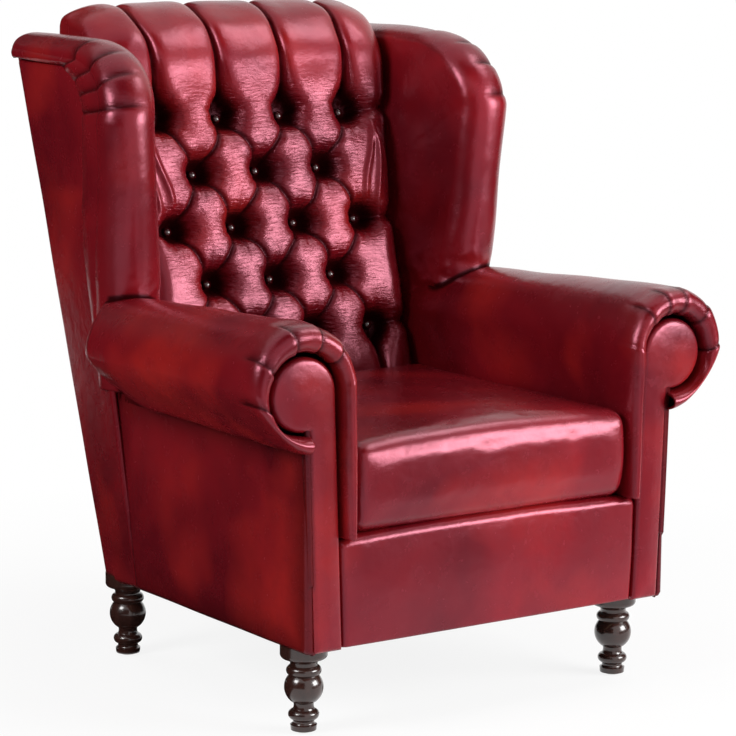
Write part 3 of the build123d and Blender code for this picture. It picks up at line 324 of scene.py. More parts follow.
hide_glossy = hide.node("BsdfPrincipled", {
    "Base Color": hide_red,
    "Roughness": 0.2 + hide_mottle * 0.12,
    "IOR": 1.75,
    "Specular Tint": (1, 0.34, 0.46, 1),
    "Normal": hide_relief,
})
# Where the painted shade lies, the glossy leather also turns into this matt near-black.
hide_painted_shade_matt = hide.node("BsdfDiffuse", {"Color": (0.02, 0.001, 0.0015, 1)})
leather = hide.end(hide.node("MixShader", {0: hide_creases * 0.9, 1: hide_glossy, 2: hide_painted_shade_matt}))


def rumple(points, size, seed):
    """Soft uneven waves of about a size, from about -1 to 1, at each point."""
    draw = np.random.default_rng(seed)
    total = np.zeros(points.shape[:-1])
    for _ in range(9):
        heading = draw.normal(size=3)
        heading /= np.linalg.norm(heading)
        pitch = 2 * pi / (size * draw.uniform(0.7, 1.5))
        total += np.sin(points @ heading * pitch + draw.uniform(0, 2 * pi))
    return total / 4


def ease(value, low, high):
    """A smooth step from 0 at low to 1 at high."""
    share = np.clip((value - low) / (high - low), 0, 1)
    return share * share * (3 - 2 * share)


def spread_out(x, y, z):
    """A grid of points from coordinates that may each vary along rows, columns or both."""
    return np.stack(np.broadcast_arrays(x, y, z), -1)


def facing_out(grid):
    """The unit normals of a grid of points, turned away from its middle."""
    normal = np.cross(np.gradient(grid, axis=0), np.gradient(grid, axis=1))
    normal /= np.maximum(np.linalg.norm(normal, axis=2, keepdims=True), 1e-9)
    middle = (grid.min((0, 1)) + grid.max((0, 1))) / 2
    return normal if np.sum(normal * (grid - middle)) >= 0 else -normal


def new_piece(name, mesh):
    """A smooth new piece in the scene."""
    mesh.shade_smooth()
    piece = bpy.data.objects.new(name, mesh)
    scene.collection.objects.link(piece)
    return piece


def lay_over(piece, material, body, covers):
    """Finishes a piece of leather that goes with a body, in place of the plain solids."""
    dress(piece, material)
    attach(piece, body)
    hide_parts(*covers)


def leather_piece(name, grid, covers, fill, thickness=0.004, **marks):
    """A skin of leather over a grid of points, turned to face out and given its thickness."""
    rows, columns = grid.shape[:2]
    index = np.arange(rows * columns).reshape(rows, columns)
    quads = np.stack(
        [index[:-1, :-1], index[:-1, 1:], index[1:, 1:], index[1:, :-1]], axis=-1,
    ).reshape(-1, 4)
    points = grid.reshape(-1, 3)
    corners = points[quads]
    face_normal = np.cross(corners[:, 1] - corners[:, 0], corners[:, 3] - corners[:, 0])
    middle = (points.min(0) + points.max(0)) / 2
    if np.sum(face_normal * (corners.mean(1) - middle)) < 0:
        quads = quads[:, ::-1]
    mesh = bpy.data.meshes.new(name)
    mesh.from_pydata(points.tolist(), [], quads.tolist())
    for mark, values in marks.items():
        layer = mesh.attributes.new(mark, "FLOAT", "POINT")
        layer.data.foreach_set("value", values.reshape(-1).astype(np.float32))
    piece = new_piece(name, mesh)
    backing = piece.modifiers.new("thickness", "SOLIDIFY")
    backing.thickness, backing.offset = thickness, -1
    lay_over(piece, leather, "chair", covers)


# Back: a deep pad buttoned through to the webbing in staggered rows, so that creases run
# from button to button. Above the top row it is sewn into flutes that roll over the crest.
seat_z = 0.3188
lean = radians(14.5)
roll_start_y, roll_start_z = 0.281, 1.0
front_roll, rear_roll = 0.12807, 0.041
button_z, button_pitch, row_pitch = 0.909, 0.128, 0.0924 / cos(lean)
back_step = 0.0025
up_straight = (roll_start_z - button_z) / cos(lean)
up_front_roll = up_straight + front_roll * (pi / 2 - lean)
up_rear_roll = up_front_roll + rear_roll * pi / 2
back_low = -(button_z - seat_z) / cos(lean)
back_high = up_rear_roll + 0.045
up_back = np.linspace(back_low, back_high, int((back_high - back_low) / back_step))
low_half_width, high_half_width = 0.267, 0.296
wall_columns = 6


def back_path(up):
    """Where the crown of the back runs: y, z and the outward normal at distances up it."""
    front_turn = lean + np.clip((up - up_straight) / front_roll, 0, pi / 2 - lean)
    turn = front_turn + np.clip((up - up_front_roll) / rear_roll, 0, pi / 2)
    low_up = np.minimum(up, up_straight)
    y = roll_start_y - up_straight * sin(lean) + low_up * sin(lean)
    z = button_z + low_up * cos(lean)
    y = y + front_roll * (cos(lean) - np.cos(front_turn))
    z = z + front_roll * (np.sin(front_turn) - sin(lean))
    rear_turn = turn - front_turn
    y = y + rear_roll * np.sin(rear_turn)
    z = z - rear_roll * (1 - np.cos(rear_turn)) - np.maximum(up - up_rear_roll, 0)
    return y, z, -np.cos(turn), np.sin(turn)


def valley(distance, width, fullness=2.0):
    """A valley's section: 1 at the bottom, 0 beyond its width."""
    return (1 - np.clip(distance / width, 0, 1)) ** fullness


def groove(distance, width, power=2):
    """A rounded groove's section: 1 at the bottom, dying away over about its width."""
    return np.exp(-((distance / width) ** power))


back_y, back_z, back_ny, back_nz = back_path(up_back)
half_width = low_half_width + (high_half_width - low_half_width) * np.clip((back_z - 0.76) / 0.24, 0, 1)
half_width = np.where(up_back > up_straight, high_half_width, half_width)
wall_rise = np.linspace(1, 0.1, wall_columns)
across = np.concatenate([np.full(wall_columns, -1), np.linspace(-1, 1, 241), np.full(wall_columns, 1)])
side_wall = np.concatenate([wall_rise, np.zeros(241), wall_rise[::-1]])
over_rear = (up_back > up_front_roll) * 1 + (up_back > up_rear_roll)
wall_reach = np.array((0.090, 0.034, 0.050))[over_rear][:, None]
deepest = np.array((0.112, 0.040, 0.055))[over_rear][:, None]
flat = spread_out(half_width[:, None] * across, back_y[:, None], back_z[:, None])
x_grid = flat[..., 0]
up_grid = np.repeat(up_back[:, None], len(across), axis=1)
fan = 1 + 0.22 * np.clip(up_grid, 0, 0.3)
near_x = (np.abs(x_grid) / fan) / (button_pitch / 2)
near_up = up_grid / row_pitch

button_places = [
    (button_pitch * (column - (4 - row % 2 - 1) / 2), -row * row_pitch)
    for row in range(5) for column in range(4 - row % 2)
]
to_button = np.full(x_grid.shape, 9.0)
ray_wave = np.zeros(x_grid.shape)
button_draw = np.random.default_rng(4)
for button_x, button_up in button_places:
    gap = np.hypot(x_grid - button_x, up_grid - button_up)
    turn = np.arctan2(up_grid - button_up, x_grid - button_x)
    rays = np.zeros(x_grid.shape)
    for count in (7, 11, 16):
        rays += np.sin(count * turn + button_draw.uniform(0, 2 * pi) + gap * 30)
    ray_wave += rays * groove(gap, 0.036) * ease(gap, 0.010, 0.022)
    to_button = np.minimum(to_button, gap)

wander = 0.05 * ease(to_button, 0.012, 0.06)
near_x = near_x + wander * rumple(flat, 0.14, 11)
near_up = near_up + wander * rumple(flat, 0.12, 12)
diamond_width = button_pitch * row_pitch / sqrt((button_pitch / 2) ** 2 + row_pitch**2)
band = np.clip(np.floor(-near_up / 2), 0, 1)
line_a = (near_x + near_up - 1) / 2
line_b = (near_x - near_up - 1) / 2
to_a = np.abs(line_a - np.minimum(np.round(line_a), -band)) * diamond_width
to_b = np.abs(line_b - np.minimum(np.round(line_b), band + 1)) * diamond_width
beyond = (np.maximum(near_up, 0) + np.maximum(-4 - near_up, 0)) * row_pitch
flute_x = np.where(near_x < 2, np.abs(near_x - 1), np.abs(near_x - 3)) * button_pitch / 2
to_crease = np.where(beyond > 0, flute_x, np.minimum(to_a, to_b))
creases = 0.0045 * (valley(to_a, 0.016) + valley(to_b, 0.016))
flutes = (0.003 + 0.016 * np.exp(-beyond / 0.025)) * valley(flute_x, 0.036, 2.2)
flutes += 0.012 * ease(beyond, 0, 0.03) * np.exp(-flute_x / 0.0045)
well_width = 0.006 + 0.022 * np.exp(-beyond / 0.045)
flutes += 0.036 * np.exp(-beyond / 0.055) * ease(beyond, 0, 0.012) * groove(flute_x, well_width)
tufts = np.where(beyond > 0, flutes, creases)
tufts += 0.0045 * groove(to_crease, 0.0034) * ease(to_button, 0.014, 0.03)
off_row = np.min([np.abs(near_up + row) for row in (0, 2, 4)], axis=0) * row_pitch
side_pleat = 0.017 * valley(off_row, 0.028) * ease(near_x, 2.9, 3.2)
well = 0.043 * groove(to_button, 0.0265, 2.5) + 0.006 * groove(to_button, 0.044)
tufts = np.minimum(np.maximum(tufts, side_pleat) + well, 0.050)
side_fold = np.zeros(x_grid.shape)
below_top = up_grid + row_pitch
for fold_x, slope, size, phase in (
    (0.213, 0.16, 0.0075, 0.0), (0.231, 0.02, 0.0085, 1.1), (0.249, -0.10, 0.006, 2.3),
):
    bend = 0.006 * np.sin(below_top * 38 + phase)
    line = np.abs(x_grid) - fold_x - slope * below_top - bend
    reach = ease(up_grid, -1.95 * row_pitch, -1.45 * row_pitch)
    reach = reach * (1 - ease(up_grid, -0.6 * row_pitch, -0.05 * row_pitch))
    side_fold += size * groove(line, 0.0055) * reach
top_share = ease(up_back, up_straight - 0.02, up_front_roll - 0.03)[:, None]
rear_share = ease(up_back, up_front_roll - 0.02, up_rear_roll)[:, None]
edge_round = 0.045 + 0.065 * top_share - 0.080 * rear_share
edge_fall = 0.054 - 0.018 * top_share - 0.026 * rear_share
edge = np.maximum(np.abs(x_grid) - (half_width[:, None] - edge_round), 0) / edge_round
side_turn = edge_fall * (1 - np.sqrt(np.maximum(1 - edge**2, 0)))
depth = side_wall * wall_reach + tufts - side_fold * 0.6 + side_turn
depth = np.minimum(depth - 0.0011 * ray_wave - 0.0012 * rumple(flat, 0.09, 5), deepest)
back_grid = flat - depth[..., None] * spread_out(0, back_ny, back_nz)[:, None]
crest_core = np.array((0.405, 1.040))
to_core = ease(up_back, up_straight - 0.03, up_straight + 0.03)[:, None]
for column in (*range(wall_columns), *range(-wall_columns, 0)):
    edge_place = back_grid[:, wall_columns if column >= 0 else -wall_columns - 1, 1:]
    fanned = edge_place + (crest_core - edge_place) * side_wall[column] * 0.98
    back_grid[:, column, 1:] += (fanned - back_grid[:, column, 1:]) * to_core
# Painted shade: the back's leather is darkened deep in the tufts and along a thin line in each crease.
leather_piece(
    "back_cover", back_grid, ["back_pad"], 0.8,
    crease=np.maximum(ease(tufts, 0.013, 0.038), 0.85 * groove(to_crease, 0.0028)),
    pucker=groove(to_button, 0.05) * ease(to_button, 0.010, 0.02),
)

# Buttons: small steel shells covered in the same leather, pulled down into the tufts.
# Each is a dome with the leather gathered under its rim.
# Painted shade: the buttons' leather is coloured near-black, far darker than the hide, for the shade in
# the deep wells they sit in.
button_finish = Finish("shaded_button_leather")
button_grain = button_finish.clouds(500, detail=2)
shaded_button_material = button_finish.cover(
    Base_Color=button_finish.blend(button_grain, (0.022, 0.001, 0.0015, 1), (0.045, 0.002, 0.003, 1)),
    Roughness=0.13 + button_grain * 0.08,
    IOR=1.6,
)
button_radius, button_rise, button_sunk = 0.0082, 0.0062, 0.0465
button_mesh = bpy.data.meshes.new("button_covers")
shell = bmesh.new()
dome_turns, rim_turns = np.linspace(0, 1.25, 9), np.linspace(0, 2 * pi, 33)[:-1]
for button_x, button_up in button_places:
    y, z, out_y, out_z = back_path(button_up)
    base = Vector((button_x, y - button_sunk * out_y, z - button_sunk * out_z))
    outward = Vector((0, out_y, out_z))
    upward = Vector((0, -out_z, out_y))
    rings = []
    for dome in dome_turns:
        top = base + outward * button_rise * cos(dome)
        pull, ripple = 1 + 0.03 * sin(dome) ** 4, 0.02 * sin(dome) ** 6
        rings.append([
            shell.verts.new(
                top + button_radius * sin(dome) * (Vector((cos(rim), 0, 0)) + upward * sin(rim))
                * (pull + ripple * cos(11 * rim + 40 * button_x))
            )
            for rim in rim_turns
        ])
    for inner, outer in zip(rings, rings[1:]):
        for spot in range(len(rim_turns)):
            after = (spot + 1) % len(rim_turns)
            shell.faces.new((inner[spot], inner[after], outer[after], outer[spot]))
    shell.faces.new(rings[-1])
bmesh.ops.remove_doubles(shell, verts=shell.verts, dist=0.00001)
bmesh.ops.recalc_face_normals(shell, faces=shell.faces)
shell.to_mesh(button_mesh)
shell.free()
lay_over(new_piece("button_covers", button_mesh), shaded_button_material, "chair", ["back_buttons"])

# Arms: a wood board under wadding and leather. The leather rolls over the arm and round
# its rear end, and at the front it is gathered in pleats round the facing.
arm_inner, arm_front, arm_rear = 0.2683, -0.399, 0.131
body_x, arm_seam_z, disc_x, disc_z = 0.355, 0.455, 0.361, 0.548
neck_gap, ring_inner, ring_reach = 0.004, 0.0625, 0.036
pleat_angles = {"left": (178, 138, 107, 74, 30, -18), "right": (176, 133, 105, 80, 44, 0)}
panel_low_z = 0.143
neck_inner_x, neck_outer_x, neck_height = 0.288, 0.340, 0.405
up_side, over_roll = np.linspace(0, 1, 60)[:-1], np.linspace(pi, 0, 110)[:-1]
roll_mid_z = np.array((0.560, 0.546))


def arm_outline(share):
    """The arm's outline at a share of the way back: points, and the angle round the roll."""
    half = 0.0961 + (0.091 - 0.0961) * share
    rise = 0.098 + (0.086 - 0.098) * share
    middle_z = roll_mid_z[0] + (roll_mid_z[1] - roll_mid_z[0]) * share
    middle_x = arm_inner + half
    under = np.linspace(0, pi / 2, 56)
    x = np.concatenate([
        np.full(len(up_side), arm_inner), middle_x + half * np.cos(over_roll),
        body_x + (middle_x + half - body_x) * np.cos(under) ** 1.35,
    ])
    z = np.concatenate([
        seat_z + (middle_z - seat_z) * up_side, middle_z + rise * np.sin(over_roll),
        middle_z - (middle_z - arm_seam_z) * np.sin(under) ** 1.35,
    ])
    turn = np.concatenate([
        np.full(len(up_side), 180.0), np.degrees(over_roll), -np.degrees(under),
    ])
    return x, z, turn


def ring_edge():
    """The inner edge of the gathered front, which follows the facing with a gap."""
    under = np.linspace(0, radians(97), 56)
    height = seat_z + (disc_z - seat_z) * up_side
    neck_x = neck_inner_x + 0.015 * (height - panel_low_z) / neck_height - neck_gap
    x = np.concatenate([
        neck_x, disc_x + ring_inner * np.cos(over_roll), disc_x + ring_inner * np.cos(under),
    ])
    z = np.concatenate([
        height, disc_z + ring_inner * np.sin(over_roll), disc_z - ring_inner * np.sin(under),
    ])
    return x, z


def rear_trim(out, low):
    """How much sooner the roll's outer side ends than its inner side, at the rear."""
    return (0.055 + 0.035 * low) * ease(out, 0, 0.09)


def under_roll(z):
    """0 at the roll's middle and above it, and 1 down at its seam."""
    return np.clip((roll_mid_z[1] - z) / (roll_mid_z[1] - arm_seam_z), 0, 1)


def arm_rows():
    """The arm's rows of points, from its rear cap to the gap round the facing."""
    rows = []
    rear_x, rear_z, _ = arm_outline(1)
    out, low = np.maximum(rear_x - body_x, 0), under_roll(rear_z)
    inner = 1 - ease(rear_x, 0.30, body_x)
    for swing in np.linspace(pi / 2, 0, 34)[:-1]:
        rise = 0.022 + 0.038 * (1 - cos(swing))
        z = np.where(rear_x > body_x, rear_z + rise * low, rear_z)
        x = np.where(rear_x > body_x, body_x + out * cos(swing), rear_x)
        y = arm_rear - rear_trim(out, low) * cos(swing)
        rows.append(spread_out(x, y + 0.5 * out * sin(swing) + inner * 0.10 * swing / (pi / 2), z))
    start_y = arm_front - 0.012
    for y in np.linspace(arm_rear, start_y, 96):
        share = (y - arm_front) / (arm_rear - arm_front)
        x, z, _ = arm_outline(share)
        low = under_roll(z)
        trim = rear_trim(x - body_x, low) * ease(share, 0.55, 1.0)
        lift = np.where(x > body_x, 0.022 * low * ease(share, 0.75, 1.0), 0)
        rows.append(spread_out(x, y - trim, z + lift))
    outer_x, outer_z, _ = arm_outline(0)
    inner_x, inner_z = ring_edge()
    for step in np.linspace(0, 1, 26)[1:]:
        share = (1 - cos(pi * step)) / 2
        y = start_y - ring_reach * sin(pi * step) ** 0.75
        rows.append(spread_out(
            outer_x + (inner_x - outer_x) * share, y, outer_z + (inner_z - outer_z) * share,
        ))
    for step in (0.004, 0.008, 0.012):
        rows.append(spread_out(inner_x, start_y + step, inner_z))
    return np.array(rows)


def pleats(turn, places):
    """How deep the gathers lie at angles round the roll: each falls away on one side."""
    deep = np.zeros(turn.shape)
    for place in places:
        past = turn - place
        deep = np.maximum(deep, np.where(past >= 0, np.exp(-past / 7), np.exp(past / 1.6)))
    return deep


arm_grid = arm_rows()
arm_x, arm_y, arm_z = np.moveaxis(arm_grid, 2, 0)
_, _, arm_turn = arm_outline(0)
# Painted shade: dark under the roll by its seam, in the gap round the facing, on the hidden rear cap
# and where the arm meets the wing's roll.
arm_seam_shade = ease(np.linspace(0, 1, len(arm_turn)), 0.972, 0.997)[None, :] * 0.85
arm_seam_shade = arm_seam_shade * ease(-arm_y, -0.2, 0.0) * (1 - ease(-arm_y, 0.40, 0.43))
arm_seam_shade[-4:] = 0.95
arm_seam_shade[:8] = np.maximum(arm_seam_shade[:8], 0.9 * (1 - ease(np.arange(8), 2, 7))[:, None])
to_wing = np.hypot(arm_x - 0.341, arm_y - arm_rear)
at_wing = (1 - ease(to_wing, 0.055, 0.062)) * (arm_z > 0.56)
arm_seam_shade = np.maximum(arm_seam_shade, 0.9 * at_wing)
for side, sign in sides:
    grid = arm_grid * (sign, 1, 1)
    gathered = ease(-arm_y, 0.375, 0.412) * np.where(arm_turn > 175, 0.0, 1.0)
    gathers = pleats(arm_turn, pleat_angles[side])[None, :] * gathered
    stops = np.sort(np.array((-70, *pleat_angles[side])))
    between = np.interp(arm_turn, stops, np.arange(len(stops)))
    chord = np.sin(pi * (between % 1))
    shift = -0.0040 * gathers - 0.0022 * chord[None, :] * gathered
    shift = shift + 0.0016 * rumple(grid, 0.16, 20 + sign) * (1 - gathered)
    # Painted shade also darkens the folds of the gathers.
    leather_piece(
        f"arm_cover_{side}", grid + facing_out(grid) * shift[..., None],
        [f"arm_pad_{side}", f"arm_ring_{side}"], 0.85,
        crease=np.maximum(np.clip(gathers**2 * 0.8, 0, 1), arm_seam_shade), pucker=gathers * 0.4,
    )


# Facings: a thin padded board in the arm's keyhole outline, covered and pinned on last.
# Its front is domed, its edges are rounded, and the arm's gathers lie round it.
def keyhole():
    """The facing's outline, as points round it."""
    radius = 0.058
    inner, outer = np.array((neck_inner_x, panel_low_z)), np.array((neck_outer_x, panel_low_z))
    centre = np.array((disc_x, disc_z))
    reach = inner - centre
    swing = np.arctan2(reach[1], reach[0]) - np.arccos(radius / np.linalg.norm(reach))
    touch = centre + radius * np.array((np.cos(swing), np.sin(swing)))
    edge = np.array((0.354, disc_z)) - outer
    edge = edge / np.linalg.norm(edge)
    along = (centre - outer) @ edge
    aside = np.linalg.norm(centre - outer - edge * along)
    join = outer + edge * (along - sqrt(radius**2 - aside**2))
    last = np.arctan2(join[1] - disc_z, join[0] - disc_x)
    turns = np.linspace(swing % (2 * pi), last, 90)
    disc = centre + radius * np.stack([np.cos(turns), np.sin(turns)], -1)
    return np.vstack([
        inner + (touch - inner) * np.linspace(0, 1, 60)[:-1, None], disc,
        join + (outer - join) * np.linspace(0, 1, 60)[1:, None],
        outer + (inner - outer) * np.linspace(0, 1, 14)[1:-1, None],
    ])


def outline_distance(points, outline):
    """How far each point is from an outline."""
    span = np.roll(outline, -1, axis=0) - outline
    length = np.maximum((span**2).sum(1), 1e-12)
    share = np.clip(((points[:, None, :] - outline) * span).sum(2) / length, 0, 1)
    near = outline + share[..., None] * span
    return np.sqrt(((points[:, None, :] - near) ** 2).sum(2)).min(1)


def inside_outline(points, outline):
    """Which points lie inside an outline."""
    x, z = points[:, 0:1], points[:, 1:2]
    x0, z0 = outline[:, 0], outline[:, 1]
    x1, z1 = np.roll(x0, -1), np.roll(z0, -1)
    crosses = (z0 > z) != (z1 > z)
    at = x0 + (z - z0) * (x1 - x0) / np.where(z1 == z0, 1e-9, z1 - z0)
    return (crosses & (x < at)).sum(1) % 2 == 1


def padded_board(name, outline, front_y, depth, edge_radius, dome, covers):
    """A closed padded shape with rounded edges over a flat outline in the XZ plane."""
    field_step = 0.006
    low, high = outline.min(0), outline.max(0)
    xs, zs = (np.arange(low[axis], high[axis], field_step) for axis in (0, 1))
    field = np.array([(x, z) for x in xs for z in zs])
    field = field[inside_outline(field, outline)]
    field = field[outline_distance(field, outline) > edge_radius * 1.1]
    normals = np.roll(outline, -1, axis=0) - np.roll(outline, 1, axis=0)
    normals = np.stack([normals[:, 1], -normals[:, 0]], -1)
    normals /= np.linalg.norm(normals, axis=1, keepdims=True)
    if inside_outline(outline + normals * 1e-4, outline).mean() < 0.5:
        normals = -normals
    rims = [outline + normals * edge_radius * (1 - cos(turn)) for turn in np.linspace(0, pi / 2, 6)]
    flat_points = np.vstack([*rims, field])
    count = len(outline)
    points, _, faces, _, _, _ = delaunay_2d_cdt(
        [Vector(point) for point in flat_points], [(i, (i + 1) % count) for i in range(count)],
        [], 1, 1e-6,
    )
    plan = np.array([(point.x, point.y) for point in points])
    from_rim = outline_distance(plan, outline)
    rim = np.minimum(from_rim, edge_radius)
    round_off = edge_radius - np.sqrt(np.maximum(edge_radius**2 - (edge_radius - rim) ** 2, 0))
    swell = dome * (1 - np.exp(-from_rim / 0.02))
    front = np.column_stack([plan[:, 0], front_y + round_off - swell, plan[:, 1]])
    mesh = bpy.data.meshes.new(name)
    mesh.from_pydata(front.tolist(), [], [list(face) for face in faces])
    shell = bmesh.new()
    shell.from_mesh(mesh)
    rim_edges = [edge for edge in shell.edges if edge.is_boundary]
    made = bmesh.ops.extrude_edge_only(shell, edges=rim_edges)
    for part in made["geom"]:
        if isinstance(part, bmesh.types.BMVert):
            part.co.y = front_y + depth
    bmesh.ops.contextual_create(shell, geom=[edge for edge in shell.edges if edge.is_boundary])
    bmesh.ops.recalc_face_normals(shell, faces=shell.faces)
    shell.to_mesh(mesh)
    shell.free()
    lay_over(new_piece(name, mesh), leather, "chair", covers)


facing_outline = keyhole()
for side, sign in sides:
    padded_board(
        f"facing_cover_{side}", facing_outline * (sign, 1), front_y=-0.4275, depth=0.0185,
        edge_radius=0.007, dome=0.005, covers=[f"arm_facing_{side}"],
    )

# Wings: a board with a thick roll along its front and top edge. The leather runs from the
# back's side over the roll to a seam on the outside, and is pleated round the top corner.
wing_low_z, wing_straight_z, wing_top_z, wing_rear_y = 0.47, 0.925, 1.020, 0.432
corner_depth = 0.130
roll_heights = (0.47, 0.575, 0.66, 0.83, 0.92, 1.02)
roll_x = (0.320, 0.336, 0.342, 0.353, 0.359, 0.345)
roll_y = (0.150, 0.141, 0.130, 0.112, 0.105, 0.105)
roll_half_height = (0.046, 0.054, 0.054, 0.048, 0.043, 0.028)
roll_half_width = (0.042, 0.052, 0.054, 0.049, 0.049, 0.045)
corner_y = roll_y[-1] + corner_depth
cap_rings = ((0.985, 0.003), (0.93, 0.006), (0.75, 0.0085), (0.35, 0.0095), (0.02, 0.0095))
cap_middle = np.array((0.345, wing_rear_y, 1.008))

rise = np.linspace(wing_low_z, wing_straight_z, 138)
swing = np.linspace(0, pi / 2, 60)[1:]
along = np.linspace(0, 1, 70)[1:]
route_y = np.concatenate([
    np.interp(rise, roll_heights, roll_y), roll_y[-1] + corner_depth * (1 - np.cos(swing)),
    corner_y + (wing_rear_y - corner_y) * along,
])
route_z = np.concatenate([
    rise, wing_straight_z + (wing_top_z - wing_straight_z) * np.sin(swing),
    np.full(len(along), wing_top_z),
])
route = spread_out(np.interp(route_z, roll_heights, roll_x), route_y, route_z)
step_y, step_z = np.gradient(route_y), np.gradient(route_z)
step_length = np.hypot(step_y, step_z)
route_out = spread_out(0, -step_z / step_length, step_y / step_length)
route_turn = np.concatenate([np.zeros(len(rise)), swing / (pi / 2), 1 + along])

# The leather's inner end lies along the back's side, and its outer end along the outside seam.
# The turn is 0 up the front, 1 at the end of the top corner and 2 at the rear.
back_line_z = (0.50, 0.569, 0.708, 0.830, 0.953, 1.010)
back_line_y = (0.170, 0.186, 0.235, 0.267, 0.300, 0.330)
last_height = 0.80
back_height = np.where(
    route_turn == 0, np.interp(route_z, (0.53, 0.935), (0.53, last_height)),
    last_height + (0.985 - last_height) * np.clip(route_turn / 2, 0, 1),
)
end_y = np.interp(back_height, back_line_z, back_line_y) + 0.03
end_y = np.where(route_turn > 1, end_y + (route_y - end_y) * ease(route_turn, 1.3, 1.9), end_y)
end_x = np.interp(back_height, (0.53, 0.60, 0.66, 0.80, 1.0), (0.272, 0.270, 0.264, 0.262, 0.285))
end_points = spread_out(end_x, end_y, back_height)
seam_low_z = (0.50, 0.564, 0.638, 0.700, 0.773, 0.842, 0.903, 0.941, 0.969)
seam_low_y = (0.184, 0.194, 0.206, 0.2115, 0.217, 0.209, 0.201, 0.207, 0.223)
seam_turns = (0, 0.25, 0.55, 0.8, 1, 2)
seam_z = np.where(
    route_turn == 0, np.interp(route_z, (wing_low_z, wing_straight_z), (wing_low_z, 0.915)),
    np.interp(route_turn, seam_turns, (0.915, 0.941, 0.969, 0.990, 1.002, 1.009)),
)
seam_y = np.where(
    route_turn == 0, np.interp(seam_z, seam_low_z, seam_low_y),
    np.interp(route_turn, seam_turns, (0.2015, 0.207, 0.223, 0.247, 0.277, wing_rear_y)),
)
up_panel = (seam_z - panel_low_z) / 0.862
across_panel = (seam_y - 0.085 - 0.16 * up_panel) / (0.1445 + 0.0355 * up_panel)
panel_front_x, panel_rear_x = body_x + 0.025 * up_panel, 0.330 + 0.056 * up_panel
seam_x = panel_front_x + (panel_rear_x - panel_front_x) * across_panel + 0.0055
seam_line = spread_out(seam_x, seam_y, seam_z)


def bowed_line(start, end, bow, shares):
    """Points from one place to another that swell aside a little in between."""
    share = shares[:, None]
    return start + (end - start) * share + np.array((bow, 0, 0)) * np.sin(pi * share)


def touch_turn(place, radius):
    """The angle towards a place from a circle's centre, and from there to the line's touch."""
    reach = max(np.linalg.norm(place), radius)
    return np.arctan2(place[1], place[0]), np.arccos(radius / reach)


def wing_rows():
    """The wing's rows of points: inside face, front or top roll, outside lap to the seam."""
    sideways = np.array((1.0, 0, 0))
    rows, angles = [], []
    for centre, out, end, seam in zip(route, route_out, end_points, seam_line):
        radius = np.interp(centre[2], roll_heights, roll_half_height)
        widen = np.interp(centre[2], roll_heights, roll_half_width) / radius
        (inner_turn, inner_more), (outer_turn, outer_more) = (
            touch_turn(((place - centre) @ sideways / widen, (place - centre) @ out), radius)
            for place in (end, seam)
        )
        first_turn = inner_turn % (2 * pi) - inner_more
        round_turn = np.linspace(first_turn, outer_turn + outer_more, 84)
        circle = centre + radius * (
            widen * np.cos(round_turn)[:, None] * sideways + np.sin(round_turn)[:, None] * out
        )
        inside = bowed_line(end, circle[0], 0.004, np.linspace(0, 1, 54)[:-1])
        fullness = min(0.012, 0.12 * np.linalg.norm(seam - circle[-1]))
        outside = bowed_line(circle[-1], seam, fullness, np.linspace(0, 1, 30)[1:])
        tuck = seam + np.array(((-0.005, 0.001, 0), (-0.014, 0.001, 0)))
        rows.append(np.vstack([inside, circle, outside, tuck]))
        angles.append(np.concatenate([
            np.full(len(inside), 200.0), np.degrees(round_turn), np.full(len(outside) + 2, -60.0),
        ]))
    last_row = rows[-1]
    for shrink, past in cap_rings:
        rows.append(cap_middle + (last_row - cap_middle) * shrink + (0, past, 0))
        angles.append(angles[-1])
    rows = np.array(rows)
    rows[..., 1] = np.minimum(rows[..., 1], 0.2358 + 0.2231 * (rows[..., 2] - panel_low_z))
    return rows, np.array(angles)


wing_grid, wing_angle = wing_rows()
# Painted shade: dark along the tuck at the outside seam.
wing_seam_shade = np.zeros(wing_angle.shape)
wing_seam_shade[:, -3:] = 0.9
wing_x, wing_y, wing_z = np.moveaxis(wing_grid, 2, 0)
# The wing's foot gets painted shade where it sinks into the arm, whose top is an arch at its rear.
arm_top = 0.5474 + 0.087 * np.sqrt(np.maximum(1 - ((wing_x - 0.3598) / 0.0915) ** 2, 0))
arm_end_y = arm_rear - 0.055 * ease(wing_x - body_x, 0, 0.09)
at_arm = (1 - ease(wing_z - arm_top, 0.002, 0.0075)) * (1 - ease(wing_y - arm_end_y, -0.006, 0.008))
wing_seam_shade = np.maximum(wing_seam_shade, 0.92 * at_arm)
wing_pleats = {"left": (0.10, 0.36, 0.62, 0.92), "right": (0.06, 0.34, 0.60, 0.95)}
cap_count = len(cap_rings)
rows_out = np.vstack([route_out, np.repeat(route_out[-1:], cap_count, axis=0)])
rows_turn = np.concatenate([route_turn, np.full(cap_count, 2.0)]) * 90
for side, sign in sides:
    grid = wing_grid * (sign, 1, 1)
    normal = facing_out(grid)
    outwards = np.sign(np.sum(normal[:, 60:90] * rows_out[:, None, :], axis=(1, 2)))
    normal = normal * outwards[:, None, None]
    gathers = pleats(rows_turn, [place * 90 for place in wing_pleats[side]])
    gathers = gathers[:, None] * (1 - ease(wing_angle, 75, 125))
    near_foot = ease(0.685 - wing_z, 0, 0.05) * ease(wing_angle, 40, 90)
    shift = -0.0038 * gathers + 0.0018 * rumple(grid, 0.17, 31 + sign)
    shift = shift + near_foot * 0.0022 * rumple(grid * (0.4, 0.4, 1), 0.02, 41)
    # Painted shade also darkens the folds of the pleats round the top corner.
    leather_piece(
        f"wing_cover_{side}", grid + normal * shift[..., None], [f"wing_pad_{side}"], 0.8,
        crease=np.maximum(np.clip(gathers**2 * 0.8, 0, 1), wing_seam_shade), pucker=gathers * 0.3,
    )


